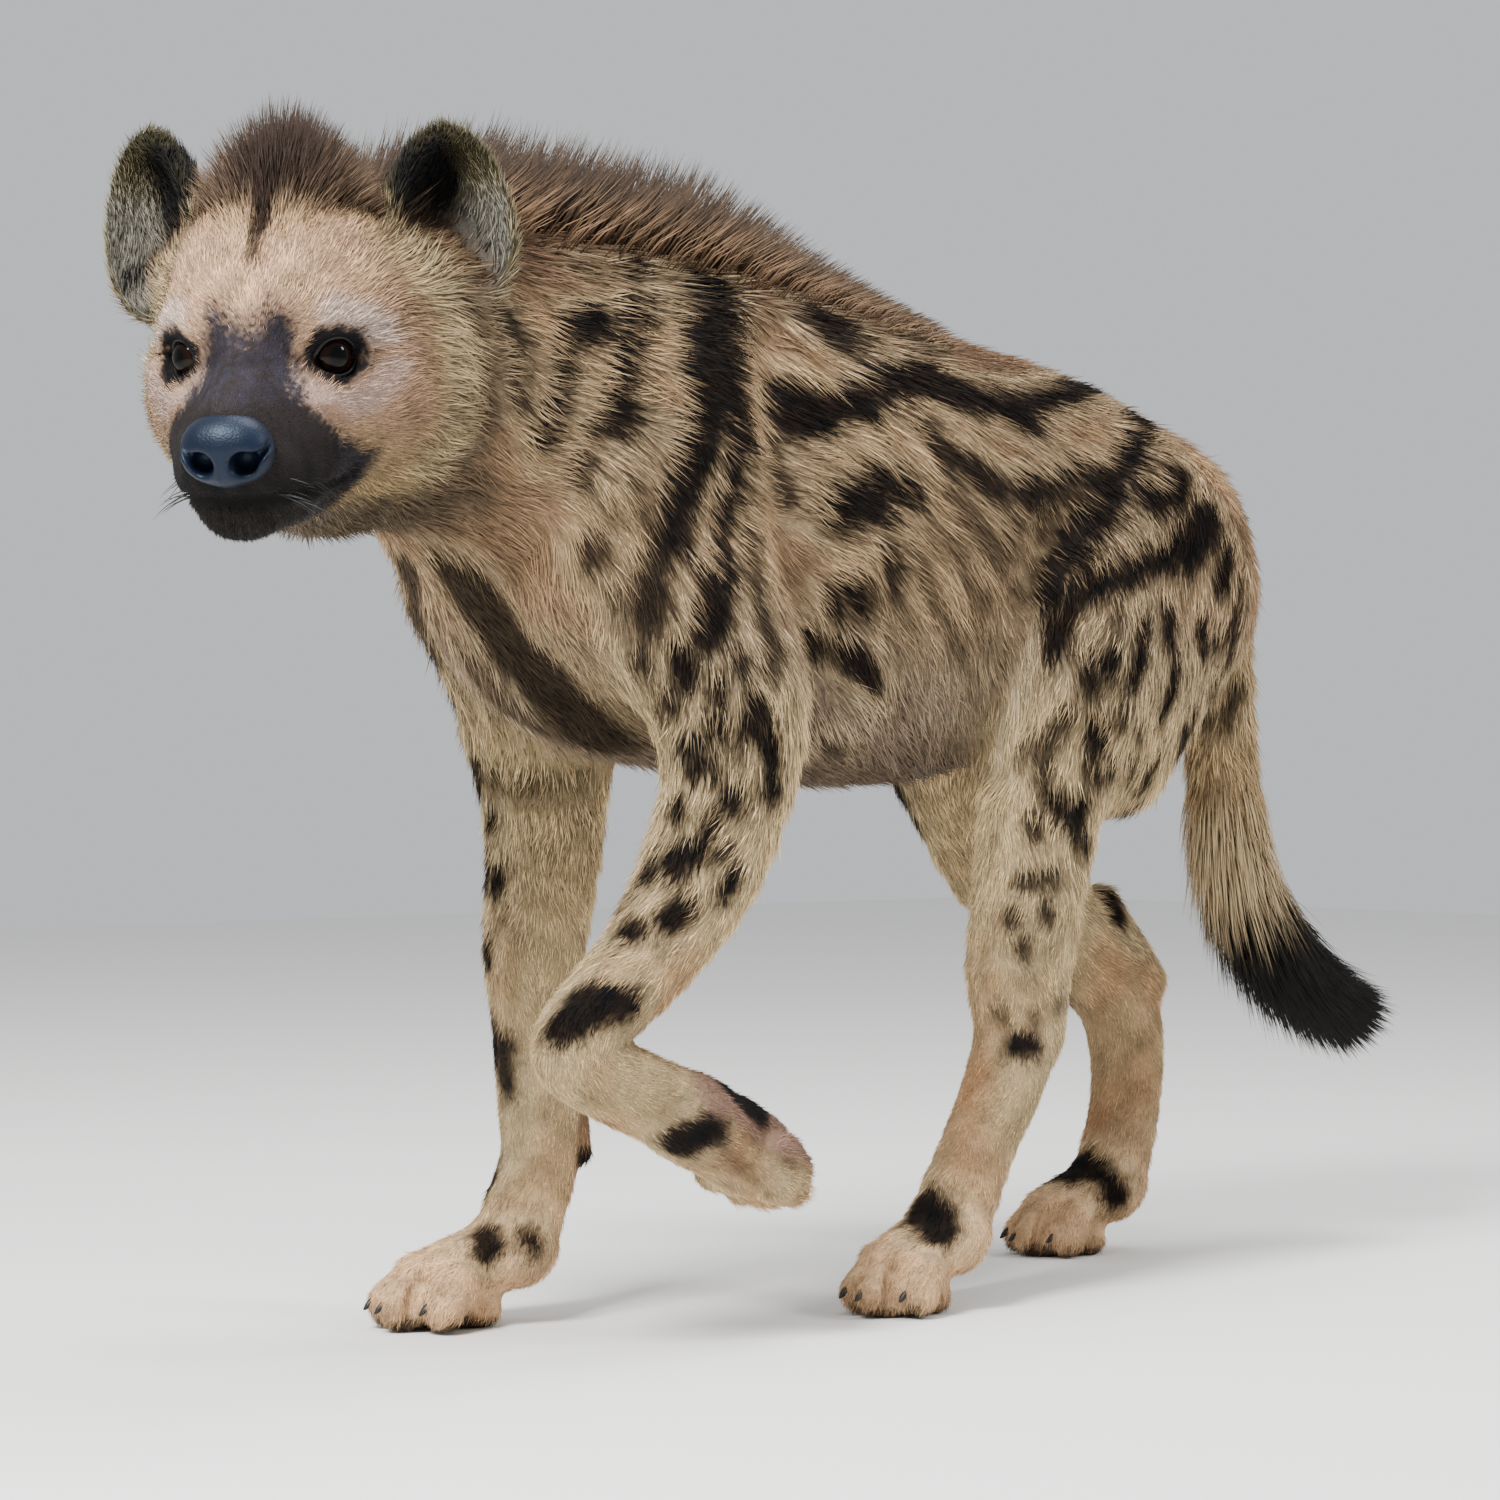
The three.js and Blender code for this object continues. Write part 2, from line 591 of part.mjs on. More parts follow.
function earSolid(side, grow = 0) {
  const up = unit(EAR.up);
  const face = facing(EAR.turn, 0);
  const out = unit(along(face, up, -dot(face, up)));
  const across = cross(out, up);
  const around = 12;
  const back = [-33, -27, -16, -4, 6].map((f) => {
    const s = Math.sqrt(1 - (f / EAR.deep) ** 2);
    return [(EAR.wide + grow) * s, (EAR.high + grow) * s, f + Math.sign(f) * grow];
  });
  const cup = [6, -4, -14, -19].map((f) => {
    const s = Math.sqrt(1 - ((f - 22) / 42) ** 2);
    return [(EAR.wide - 9 - grow) * s, (EAR.high - 10 - grow) * s, f + grow];
  });
  const rings = [...back, [EAR.wide - 5 + grow, EAR.high - 5 + grow, 9 + grow], ...cup];
  const vertices = [];
  const place = (w, h, f) => {
    const taper = 1 - (0.16 * h) / 60;
    const q = along(along(along(EAR.at, across, w * taper), up, h), out, f);
    vertices.push(...fromHead([side * q[0], q[1], q[2]]));
  };
  place(0, 0, -EAR.deep - grow);
  for (const [w, h, f] of rings)
    for (let k = 0; k < around; k += 1) {
      const angle = (2 * Math.PI * k) / around;
      place(w * Math.cos(angle), h * Math.sin(angle), f);
    }
  place(0, 0, -20 + grow);
  const faces = [];
  const last = 1 + rings.length * around;
  for (let k = 0; k < around; k += 1) {
    const next = (k + 1) % around;
    faces.push(0, 1 + next, 1 + k);
    for (let i = 0; i < rings.length - 1; i += 1) {
      const [a, b] = [1 + i * around + k, 1 + i * around + next];
      faces.push(a, b, b + around, a, b + around, a + around);
    }
    faces.push(last, last - around + k, last - around + next);
  }
  if (side > 0) faces.reverse();
  return solid(vertices, faces);
}

// Lips and mouth line: a path round the muzzle where its surface crosses a level plane

function lipPath(z, inset) {
  const points = [];
  for (let i = -12; i <= 12; i += 1) {
    const angle = (i / 12) * turn(MOUTH.corner * 2);
    const heading = [Math.sin(angle), -Math.cos(angle), 0];
    let r = 20;
    while (headForm(along([0, MOUTH.centre, z], heading, r)) < 0 && r < 90) r += 0.5;
    points.push(new THREE.Vector3(...fromHead(along([0, MOUTH.centre, z], heading, r - inset))));
  }
  return new THREE.CatmullRomCurve3(points);
}

function swept(path, wide, high, steps = 12) {
  const section = new THREE.Shape();
  section.moveTo(wide / 2, 0);
  section.lineTo(0, high / 2);
  section.lineTo(-wide / 2, 0);
  section.lineTo(0, -high / 2);
  const geometry = new THREE.ExtrudeGeometry(section, { steps, extrudePath: path, bevelEnabled: false });
  return fromGeometry(geometry, new THREE.Matrix4());
}

// Parts

const group = new THREE.Group();
const COAT = 0xb59d82;
const PALE = 0xd5bb92;
const DARK = 0x4b3a33;
function addPart(name, piece, colour, roughness = 0.9) {
  const mesh = piece.getMesh();
  const positions = new Float32Array(mesh.numVert * 3);
  for (let v = 0; v < mesh.numVert; v += 1)
    for (let k = 0; k < 3; k += 1) positions[v * 3 + k] = mesh.vertProperties[v * mesh.numProp + k];
  const geometry = new THREE.BufferGeometry();
  geometry.setAttribute("position", new THREE.BufferAttribute(positions, 3));
  geometry.setIndex(new THREE.BufferAttribute(Uint32Array.from(mesh.triVerts), 1));
  geometry.computeVertexNormals();
  const material = new THREE.MeshStandardMaterial({ color: colour, roughness, metalness: 0 });
  const node = new THREE.Mesh(geometry, material);
  node.name = name;
  group.add(node);
}

// Ears, eyes and nose come first, because the head is hollowed for their roots

const SIDES = { left: 1, right: -1 };
const roots = [];
for (const [name, side] of Object.entries(SIDES)) {
  addPart(`ear_${name}`, earSolid(side), 0x6d6350);
  roots.push(earSolid(side, GAP));
}

const eyeFrame = (side) => {
  const ahead = facing(EYE.turn, EYE.tilt);
  const across = unit(cross(ahead, [0, 0, 1]));
  const axes = [across, ahead, cross(across, ahead)];
  return {
    at: fromHead([side * EYE.at[0], EYE.at[1], EYE.at[2]]),
    axes: axes.map(([x, y, z], k) => headWay([side * x, y, z]).map((v) => (side < 0 && !k ? -v : v))),
  };
};
const lids = [];
for (const [name, side] of Object.entries(SIDES)) {
  const { at, axes } = eyeFrame(side);
  const ball = (r) => ellipsoid(at, [r, r, r], axes);
  addPart(`eye_${name}`, ball(EYE.radius), 0x1a100c, 0.15);
  const opening = ellipsoid(along(at, axes[1], 15), [EYE.open[0], EYE.open[2], EYE.open[1]], axes, 10, 6);
  lids.push(ball(EYE.radius + EYE.lid));
  roots.push(ball(EYE.radius + GAP), opening);
}

const noseRange = [[-42, -126, -92], [42, -56, -14], [11.5, 11.5, 11.5], headMatrix];
const nostrils = [1, -1].flatMap((side) => [
  ellipsoid(fromHead([side * 14, -106, -55]), [5.5, 9, 7], [headWay([1, 0, 0]), headWay([-side * 0.3, 1, 0]), headWay([0, 0, 1])], 10, 7),
  ellipsoid(fromHead([side * 23, -102, -60]), [7, 6, 2.2], [headWay([1, side * 0.6, 0]), headWay([-side * 0.6, 1, 0]), headWay([0, 0, 1])], 10, 6),
]);
addPart("nose", largest(carve(surface(nose, ...noseRange), nostrils)), 0x2c3442, 0.35);
roots.push(surface(nose, ...noseRange, 4 * GAP));

// Head: skull, cheeks and muzzle with the lids, the lips and the crest, without the lower jaw

const headRange = [[-130, -110, -160], [130, 205, 150], [21, 20, 20], headMatrix];
const headWithNeck = (q) => join(headForm(q), trunk(fromHead(q)), 40);
const jawBox = keep(beyond(fromHead([0, 0, MOUTH.z]), headWay([0, 0, -1]), GAP / 2), [
  beyond(fromHead([0, 4, 0]), headWay([0, -1, 0]), GAP / 2),
]);
const jawRoom = keep(beyond(fromHead([0, 0, MOUTH.z]), headWay([0, 0, -1]), -GAP / 2), [
  beyond(fromHead([0, 4, 0]), headWay([0, -1, 0]), -GAP / 2),
]);
const mouthLine = swept(lipPath(MOUTH.z, 0), 12, MOUTH.slit * 1.4);
const skullSolid = surface(headWithNeck, ...headRange);
const headSolid = keep(fuse(skullSolid, [...lids, ...crestLocks()]), [
  beyond(HEAD_BACK[0], opposite(HEAD_BACK[1]), GAP / 2),
]);
const upperLip = swept(lipPath(MOUTH.z + 4.5, 2), 8, 7);
const lowerLip = swept(lipPath(MOUTH.z - 4, 2), 7, 6);
addPart("head", largest(carve(fuse(headSolid, [upperLip]), [jawRoom, mouthLine, ...roots])), COAT);
addPart("lower_jaw", largest(carve(keep(fuse(skullSolid, [lowerLip]), [jawBox]), [mouthLine, ...roots])), 0x3b322e);

// Neck, torso and hindquarters

const locks = maneLocks();
const onNeck = (lock) => dot(sub(lock.root, CUTS.neck[0]), CUTS.neck[1]) > 0;
const neckLocks = locks.filter(onNeck).map(spike);
const torsoLocks = locks.filter((lock) => !onNeck(lock)).map(spike);
const earRoots = Object.values(SIDES).map((side) => earSolid(side, GAP));
const legRoom = (end, side) => keep(beyond(...CUTS[`${end}_leg`], -GAP / 2), [
  beyond(...CUTS[`${end}_back`], -GAP / 2), beyond(...CUTS[side], -GAP / 2), beyond(CUTS.neck[0], opposite(CUTS.neck[1]), -GAP),
]);

const neckCore = surface(coated, [-175, -600, 430], [195, -160, 900], [34, 33, 34]);
addPart("neck", largest(carve(keep(fuse(neckCore, neckLocks), [
  past("neck"), beyond(HEAD_BACK[0], HEAD_BACK[1], GAP / 2),
]), earRoots)), COAT);

const torsoCore = surface(coated, [-225, -450, 345], [225, 160, 900], [38, 48, 38]);
const foreRooms = [legRoom("fore", "left"), legRoom("fore", "right")];
addPart("torso", largest(carve(keep(fuse(torsoCore, torsoLocks), [before("neck"), before("hip")]), foreRooms)), COAT);

const tailRoot = tube(TAIL.slice(0, 3));
const rump = (p) => {
  const trunkWithLegs = ["hind_left", "hind_right"].reduce((d, n) => join(d, limbs[n].upper(p), 36), trunk(p));
  return join(trunkWithLegs, tailRoot(p), 36);
};
const rumpCore = surface(rump, [-220, 20, 350], [220, 500, 800], [37, 41, 37]);
const hindRooms = [legRoom("hind", "left"), legRoom("hind", "right")];
addPart("hindquarters", largest(carve(keep(rumpCore, [past("hip")]), [...hindRooms, tailTube(GAP)])), COAT);

// Tail

const tailCut = [[0, 448, 400], [0, 0.15, -1]];
const tailSolid = tailTube();
addPart("tail", largest(keep(tailSolid, [beyond(tailCut[0], opposite(tailCut[1]), GAP / 2)])), COAT);
addPart("tail_brush", largest(keep(fuse(tailSolid, brushLocks()), [beyond(...tailCut, GAP / 2)])), DARK);

// Legs

const legRange = {
  fore_left: [[8, -420, 120], [230, -30, 640]],
  fore_right: [[-220, -412, 110], [-8, -30, 640]],
  hind_left: [[4, 20, 100], [220, 460, 690]],
  hind_right: [[-230, 60, 90], [-4, 490, 690]],
};
const footRange = {
  fore_left: [[50, -350, 60], [200, -80, 240]],
  fore_right: [[-180, -390, -12], [-20, -150, 200]],
  hind_left: [[6, -56, -14], [150, 180, 210]],
  hind_right: [[-180, 270, -12], [-20, 480, 210]],
};
for (const [name, { upper, whole, claws }] of Object.entries(limbs)) {
  const [end, side] = name.split("_");
  const withTrunk = (p) => join(trunk(p), upper(p), 36);
  const cell = end === "fore" ? [24, 24, 36] : [27, 28, 36];
  const core = surface(withTrunk, ...legRange[name], cell);
  const ankle = `${end === "fore" ? "wrist" : "hock"}_${side}`;
  const top = keep(core, [past(`${end}_leg`), past(`${end}_back`), past(side), before(ankle)]);
  if (end === "fore") {
    addPart(`foreleg_${side}`, largest(keep(top, [beyond(CUTS.neck[0], opposite(CUTS.neck[1]), GAP / 2)])), COAT);
  } else {
    addPart(`thigh_${side}`, largest(keep(top, [before(`knee_${side}`)]).subtract(tailTube(GAP))), COAT);
    addPart(`shank_${side}`, largest(keep(top, [past(`knee_${side}`)])), COAT);
  }
  const foot = keep(surface(whole, ...footRange[name], [17, 17, 17]), [past(ankle), beyond(...CUTS.floor)]);
  const pockets = claws.map((claw) => spike({ ...claw, grow: GAP }));
  addPart(`${end}foot_${side}`, largest(carve(foot, pockets)), PALE);
  claws.forEach((claw, i) => addPart(`claw_${name}_${i + 1}`, spike(claw), 0x2b2724, 0.4));
}

// The part stands on the middle of its own bounds
const middle = new THREE.Box3().setFromObject(group).getCenter(new THREE.Vector3());
group.position.set(-middle.x, -middle.y, 0);
export default group;
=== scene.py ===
import bpy
import numpy as np
from mathutils import Matrix


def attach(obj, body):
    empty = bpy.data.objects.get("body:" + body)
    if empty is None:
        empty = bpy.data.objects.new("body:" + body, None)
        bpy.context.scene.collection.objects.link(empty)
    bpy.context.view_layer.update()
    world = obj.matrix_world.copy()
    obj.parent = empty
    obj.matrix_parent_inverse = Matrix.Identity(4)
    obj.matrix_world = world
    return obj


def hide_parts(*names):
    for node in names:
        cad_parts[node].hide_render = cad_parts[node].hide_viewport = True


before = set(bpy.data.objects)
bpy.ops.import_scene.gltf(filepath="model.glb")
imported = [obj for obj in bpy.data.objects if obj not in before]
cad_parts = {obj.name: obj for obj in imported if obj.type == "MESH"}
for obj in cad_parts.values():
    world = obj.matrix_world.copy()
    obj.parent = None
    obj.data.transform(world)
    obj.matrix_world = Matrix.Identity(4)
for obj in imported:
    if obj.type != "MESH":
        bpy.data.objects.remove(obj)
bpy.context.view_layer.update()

# Hide: tanned skin drawn tight over the form, one surface from the muzzle to the tail. Sizes are
# millimetres on the animal: x to its left, y to its tail, z up, the floor at z = 0. ORIGIN is
# where the middle of the floor plan lies in that frame.

ORIGIN = np.array([11.906, -27.906, 0.0])
HEAD_AT = np.array([120.0, -595.0, 686.0])
HEAD_TURN = np.radians(42)
HEAD_TILT = np.radians(12)

# Trunk and neck: y, x of the middle, top, bottom, half width, z where it is widest
STATIONS = np.array([
    [-520, 62, 770, 620, 90, 700],
    [-460, 46, 796, 596, 104, 694],
    [-400, 28, 812, 562, 114, 684],
    [-350, 12, 818, 508, 122, 660],
    [-300, 4, 818, 452, 127, 636],
    [-235, 0, 814, 424, 130, 616],
    [-150, 0, 806, 408, 134, 596],
    [-60, 0, 790, 400, 142, 584],
    [40, 0, 773, 398, 146, 580],
    [120, 0, 762, 410, 140, 586],
    [190, 0, 750, 438, 130, 598],
    [260, 0, 734, 470, 118, 606],
    [330, 0, 706, 500, 102, 610],
    [384, 0, 674, 530, 76, 606],
], float)
TRUNK_ENDS = (40, 50)

# Legs: x, y, z of the centre line, radius, width over depth
LEGS = {
    "fore_right": [
        [-104, -166, 520, 64, 0.8], [-104, -192, 440, 63, 0.85], [-98, -200, 354, 49, 0.95],
        [-91, -214, 280, 41, 1], [-86, -216, 232, 36, 1], [-84, -214, 195, 36, 1],
        [-83, -213, 160, 35, 1], [-82, -216, 120, 32, 1], [-82, -238, 66, 33, 1],
    ],
    "fore_left": [
        [112, -200, 520, 64, 0.8], [128, -196, 440, 58, 0.85], [126, -226, 352, 49, 0.95],
        [121, -268, 290, 38, 1], [117, -316, 245, 33, 1], [116, -334, 220, 32, 1],
        [118, -306, 200, 32, 1], [119, -268, 183, 32, 1], [122, -226, 164, 34, 1],
    ],
    "hind_left": [
        [96, 170, 500, 92, 0.6], [100, 142, 430, 68, 0.72], [97, 128, 340, 52, 0.85],
        [92, 114, 262, 42, 0.9], [88, 120, 212, 36, 0.95], [84, 108, 168, 33, 1],
        [80, 90, 130, 31, 1], [76, 62, 72, 33, 1],
    ],
    "hind_right": [
        [-100, 240, 500, 92, 0.6], [-112, 256, 420, 72, 0.72], [-110, 290, 340, 54, 0.85],
        [-96, 352, 274, 45, 0.85], [-84, 400, 222, 38, 0.95], [-80, 412, 176, 34, 1],
        [-80, 410, 124, 32, 1], [-84, 398, 70, 33, 1],
    ],
}
# Muscles: from, to, first radius, last radius, width over depth, blend
MUSCLES = {
    "fore_right": [
        [[-72, -140, 700], [-98, -235, 575], 58, 72, 0.6, 60],
        [[-96, -262, 556], [-106, -208, 470], 66, 60, 0.8, 40],
    ],
    "fore_left": [
        [[72, -140, 700], [96, -280, 580], 58, 72, 0.6, 60],
        [[98, -296, 562], [126, -214, 470], 60, 56, 0.8, 40],
    ],
    "hind_left": [
        [[78, 282, 585], [98, 180, 500], 98, 86, 0.62, 60],
        [[74, 322, 545], [90, 235, 430], 72, 54, 0.62, 50],
        [[92, 166, 296], [88, 146, 206], 16, 15, 1, 26],
    ],
    "hind_right": [
        [[-78, 282, 585], [-106, 240, 480], 98, 82, 0.62, 60],
        [[-74, 322, 545], [-96, 318, 430], 72, 54, 0.62, 50],
        [[-94, 396, 300], [-82, 444, 232], 18, 16, 1, 26],
    ],
}
# Paws: pastern, tip of the middle toes, width, toe radius, upper side
PAWS = {
    "fore_right": ([-82, -240, 56], [-105, -330, 19], 96, 20, [0, 0, 1]),
    "fore_left": ([122, -236, 168], [108, -140, 114], 88, 20, [0, -0.45, -0.89]),
    "hind_left": ([76, 56, 56], [67, -14, 18], 86, 19, [0, 0, 1]),
    "hind_right": ([-84, 392, 56], [-112, 326, 18], 86, 19, [0, 0, 1]),
}
TAIL = [
    [0, 384, 640, 44, 1], [0, 420, 590, 40, 1], [0, 438, 520, 37, 1], [0, 446, 422, 37, 1],
    [0, 460, 336, 34, 1], [0, 504, 268, 29, 1], [0, 552, 230, 20, 1], [0, 574, 218, 12, 1],
]
# Head, in its own frame: origin between the eyes, y to the back, z up
SKULL = [
    [[0, 58, 20], [0, 96, 28], 66, 74, 1, 0],
    [[0, 14, 24], [0, 62, 46], 42, 54, 1.24, 36],
    [[0, 72, 74], [0, 106, 48], 28, 46, 1, 34],
    [[0, 8, -28], [0, -48, -50], 44, 33, 1.06, 26],
    [[0, -48, -50], [0, -68, -56], 34, 32, 1.04, 20],
    [[0, 60, -62], [0, -60, -90], 46, 21, 1.1, 24],
    [[0, 130, -78], [0, 44, -72], 66, 34, 1.1, 34],
    [[0, 24, 4], [0, -74, -34], 29, 23, 0.84, 22],
]
CHEEKS = [
    [[44, 40, -26], [52, 84, -20], 33, 42, 1, 30],
    [[30, -16, -46], [44, 56, -44], 26, 38, 1, 30],
    [[34, 92, -34], [32, 126, -46], 56, 58, 1, 40],
    [[26, 10, -62], [15, -62, -66], 30, 22, 1, 22],
    [[30, 6, 20], [52, 26, 14], 18, 18, 1, 26],
    [[44, -4, -22], [60, 30, -18], 14, 18, 1, 20],
    [[62, 98, 36], [84, 128, 44], 30, 26, 1, 26],
]
NOSE = [
    [[-11, -91, -44], [11, -91, -44], 16, 16, 1, 0],
    [[-13, -90, -53], [13, -90, -53], 15, 15, 1, 14],
    [[0, -94, -46], [0, -94, -58], 15, 12, 1, 12],
]
EYE = {"at": [42.2, 7, 0.1], "radius": 18, "turn": 42, "tilt": 4, "lid": 4}
EAR = {"at": [103, 122, 76], "up": [-0.02, 0.05, 1], "turn": 34}
MOUTH_Z = -81
# Furrows behind the shoulder and before the thigh, the pad behind the right wrist, and the bare
# pad of the raised paw
SHOULDER_FOLD = [[104, -144, 740], [126, -150, 684], [134, -145, 626], [137, -134, 568], [127, -112, 510],
                 [104, -84, 467]]
THIGH_FOLD = [[132, 118, 600], [138, 86, 548], [129, 70, 502], [113, 68, 464], [92, 72, 424]]
WRIST_PAD = [[-69, -197, 158], [-63, -191, 126], 15, 11, 1, 8]
RAISED_PAD = [[133, -214, 184], [130, -188, 170], 17, 14, 1, 8]


def unit(v):
    """Vectors divided by their lengths."""
    v = np.asarray(v, float)
    return v / np.maximum(np.linalg.norm(v, axis=-1, keepdims=True), 1e-12)


def join(a, b, blend):
    """The lesser of two distances, rounded off by up to a quarter of blend where they meet."""
    near = np.maximum(blend - np.abs(a - b), 0) / blend
    return np.minimum(a, b) - near * near * blend * 0.25


def carve(a, b, blend):
    """The first form less the second, with a rounded edge."""
    return -join(-a, b, blend)


def rod(p, row):
    """Distance to a tapered rod with round ends: distance from its line less the radius there,
    which is made wide or narrow across one axis."""
    a, b = np.array(row[0], float), np.array(row[1], float)
    side = unit(row[6]) if len(row) > 6 else np.array([1.0, 0, 0])
    line = b - a
    q = p - a
    t = np.clip(q @ line / (line @ line), 0, 1)
    v = q - t[..., None] * line
    d2 = (v * v).sum(-1)
    s = v @ side
    n = np.sqrt(d2) + 1e-6
    r = row[2] + (row[3] - row[2]) * t
    return n - r * n / np.sqrt(np.maximum(d2 + (1 / row[4] ** 2 - 1) * s * s, 1e-9))


def rods(p, rows, d=None):
    """Distance to rods joined one after another, each with the blend in its sixth place."""
    for row in rows:
        e = rod(p, row)
        d = e if d is None else join(d, e, row[5])
    return d


def knots(rows, steps=3):
    """A cubic through the rows, with the slope of the neighbours at each, cut into steps."""
    t = np.array(rows, float)
    m = np.gradient(t, axis=0)
    s = np.arange((len(t) - 1) * steps + 1) / steps
    i = np.minimum(s.astype(int), len(t) - 2)
    f = (s - i)[:, None]
    return ((2 * f**3 - 3 * f**2 + 1) * t[i] + (f**3 - 2 * f**2 + f) * m[i]
            + (3 * f**2 - 2 * f**3) * t[i + 1] + (f**3 - f**2) * m[i + 1])


def tube_rows(rows):
    """Short rods along a smooth centre line."""
    k = knots(rows)
    return [[a[:3], b[:3], a[3], b[3], (a[4] + b[4]) / 2, 3] for a, b in zip(k[:-1], k[1:])]


LEG_RODS = {name: tube_rows(rows) for name, rows in LEGS.items()}
TAIL_RODS = tube_rows(TAIL)


def station(y):
    """x of the middle, top, bottom, half width and widest z of the trunk at y."""
    keys = STATIONS[:, 0]
    slope = np.empty_like(STATIONS)
    slope[1:-1] = (STATIONS[2:] - STATIONS[:-2]) / (keys[2:] - keys[:-2])[:, None]
    slope[0] = (STATIONS[1] - STATIONS[0]) / (keys[1] - keys[0])
    slope[-1] = (STATIONS[-1] - STATIONS[-2]) / (keys[-1] - keys[-2])
    i = np.clip(np.searchsorted(keys, y, side="left") - 1, 0, len(keys) - 2)
    h = (keys[i + 1] - keys[i])[..., None]
    f = (y - keys[i])[..., None] / h
    row = ((2 * f**3 - 3 * f**2 + 1) * STATIONS[i] + (f**3 - 2 * f**2 + f) * h * slope[i]
           + (3 * f**2 - 2 * f**3) * STATIONS[i + 1] + (f**3 - f**2) * h * slope[i + 1])
    return row[..., 1:]


def trunk(p):
    """An egg shaped section at every y, closed by rounded ends."""
    yc = np.clip(p[..., 1], STATIONS[0, 0], STATIONS[-1, 0])
    row = station(yc)
    v = p - np.stack([row[..., 0], yc, row[..., 4]], -1)
    tall = np.where(v[..., 2] > 0, row[..., 1] - row[..., 4], row[..., 4] - row[..., 2])
    end = np.where(v[..., 1] < 0, TRUNK_ENDS[0], TRUNK_ENDS[1])
    rho = np.sqrt((v[..., 0] / row[..., 3]) ** 2 + (v[..., 1] / end) ** 2 + (v[..., 2] / tall) ** 2)
    return np.linalg.norm(v, axis=-1) * (1 - 1 / (rho + 1e-9))


HEAD = np.array(Matrix.Rotation(HEAD_TURN, 3, "Z") @ Matrix.Rotation(HEAD_TILT, 3, "X"))


def in_head(p):
    """Points of the animal's frame in the frame of its head."""
    return (p - HEAD_AT) @ HEAD


def from_head(q):
    """Points of the head's frame in that of the animal."""
    return np.asarray(q, float) @ HEAD.T + HEAD_AT


def facing(turn, tilt):
    """The way something looks that is turned aside from straight ahead, and tilted up."""
    turn, tilt = np.radians(turn), np.radians(tilt)
    return np.array([np.sin(turn) * np.cos(tilt), -np.cos(turn) * np.cos(tilt), np.sin(tilt)])


def mirrored(q):
    """Points brought to the left side."""
    return np.concatenate([np.abs(q[..., :1]), q[..., 1:]], -1)


def head_form(q):
    """Distance to the head without eyes, ears, nose and mouth."""
    d = rods(q, SKULL)
    return rods(mirrored(q), CHEEKS, d)


def egg(w, h, f, radii):
    """Distance to an ellipsoid with its axes along the three coordinates."""
    k0 = np.sqrt((w / radii[0]) ** 2 + (h / radii[1]) ** 2 + (f / radii[2]) ** 2)
    k1 = np.sqrt((w / radii[0] ** 2) ** 2 + (h / radii[1] ** 2) ** 2 + (f / radii[2] ** 2) ** 2)
    return k0 * (k0 - 1) / (k1 + 1e-9)


EAR_UP = unit(EAR["up"])
EAR_OUT = unit(facing(EAR["turn"], 0) - EAR_UP * (facing(EAR["turn"], 0) @ EAR_UP))
EAR_SIDE = np.cross(EAR_OUT, EAR_UP)
EYE_OUT = facing(EYE["turn"], EYE["tilt"])
EYE_SIDE = unit(np.cross(EYE_OUT, [0, 0, 1]))
EYE_UP = np.cross(EYE_SIDE, EYE_OUT)


def ear_form(s):
    """A cup: one ellipsoid less a deeper one in front, cut off level at the rim."""
    v = s - np.array(EAR["at"])
    h, f = v @ EAR_UP, v @ EAR_OUT
    w = (v @ EAR_SIDE) / (1 - 0.16 * np.clip(h, -70, 70) / 60)
    outer = egg(w, h, f, (48, 66, 33))
    inner = egg(w, h, f - 22, (41, 58, 42))
    d = carve(outer, inner, 5)
    fold = rod(np.stack([w, h, f], -1), [[34, -10, -6], [6, -52, 4], 6, 10, 1])
    d = join(d, fold, 8)
    return -join(-d, -(f - 7), 5)


def mouth_path():
    """Where the muzzle crosses the level of the mouth, found along rays from its middle."""
    angle = np.radians(np.linspace(0, 120, 13))
    heading = np.stack([np.sin(angle), -np.cos(angle), 0 * angle], -1)
    r = np.arange(20, 90, 0.5)
    q = np.array([0, -30, MOUTH_Z]) + heading[:, None] * r[:, None]
    crossing = np.argmax(head_form(q) > 0, axis=1)
    return q[np.arange(13), crossing]


LIP_LINE = mouth_path()


def face_form(q):
    """Head with lids about the eye openings and the line of the mouth."""
    d = head_form(q)
    s = mirrored(q)
    v = s - np.array(EYE["at"])
    w, h, f = v @ EYE_SIDE, v @ EYE_UP, v @ EYE_OUT
    d = join(d, np.linalg.norm(v, axis=-1) - EYE["radius"] - EYE["lid"], 9)
    d = carve(d, egg(w + 2, h + 0.5, f - 14, (19.5, 14, 13)), 3)
    d = join(d, rod(s, [[22, -68, -66], [35, -38, -70], 16, 14, 1]), 12)
    d = join(d, rod(s, [[6, -66, -90], [22, -30, -88], 18, 17, 1]), 10)
    d = carve(d, rod(s, [[15, -112, -55], [16, -84, -49], 11, 9, 1]), 2)
    d = join(d, rod(s, [[30, -8, 15], [58, 14, 15], 8, 8, 1]), 14)
    for a, b in zip(LIP_LINE[:-1], LIP_LINE[1:]):
        d = carve(d, rod(s, [a, b, 1.5, 1.5, 1]), 4)
    return d


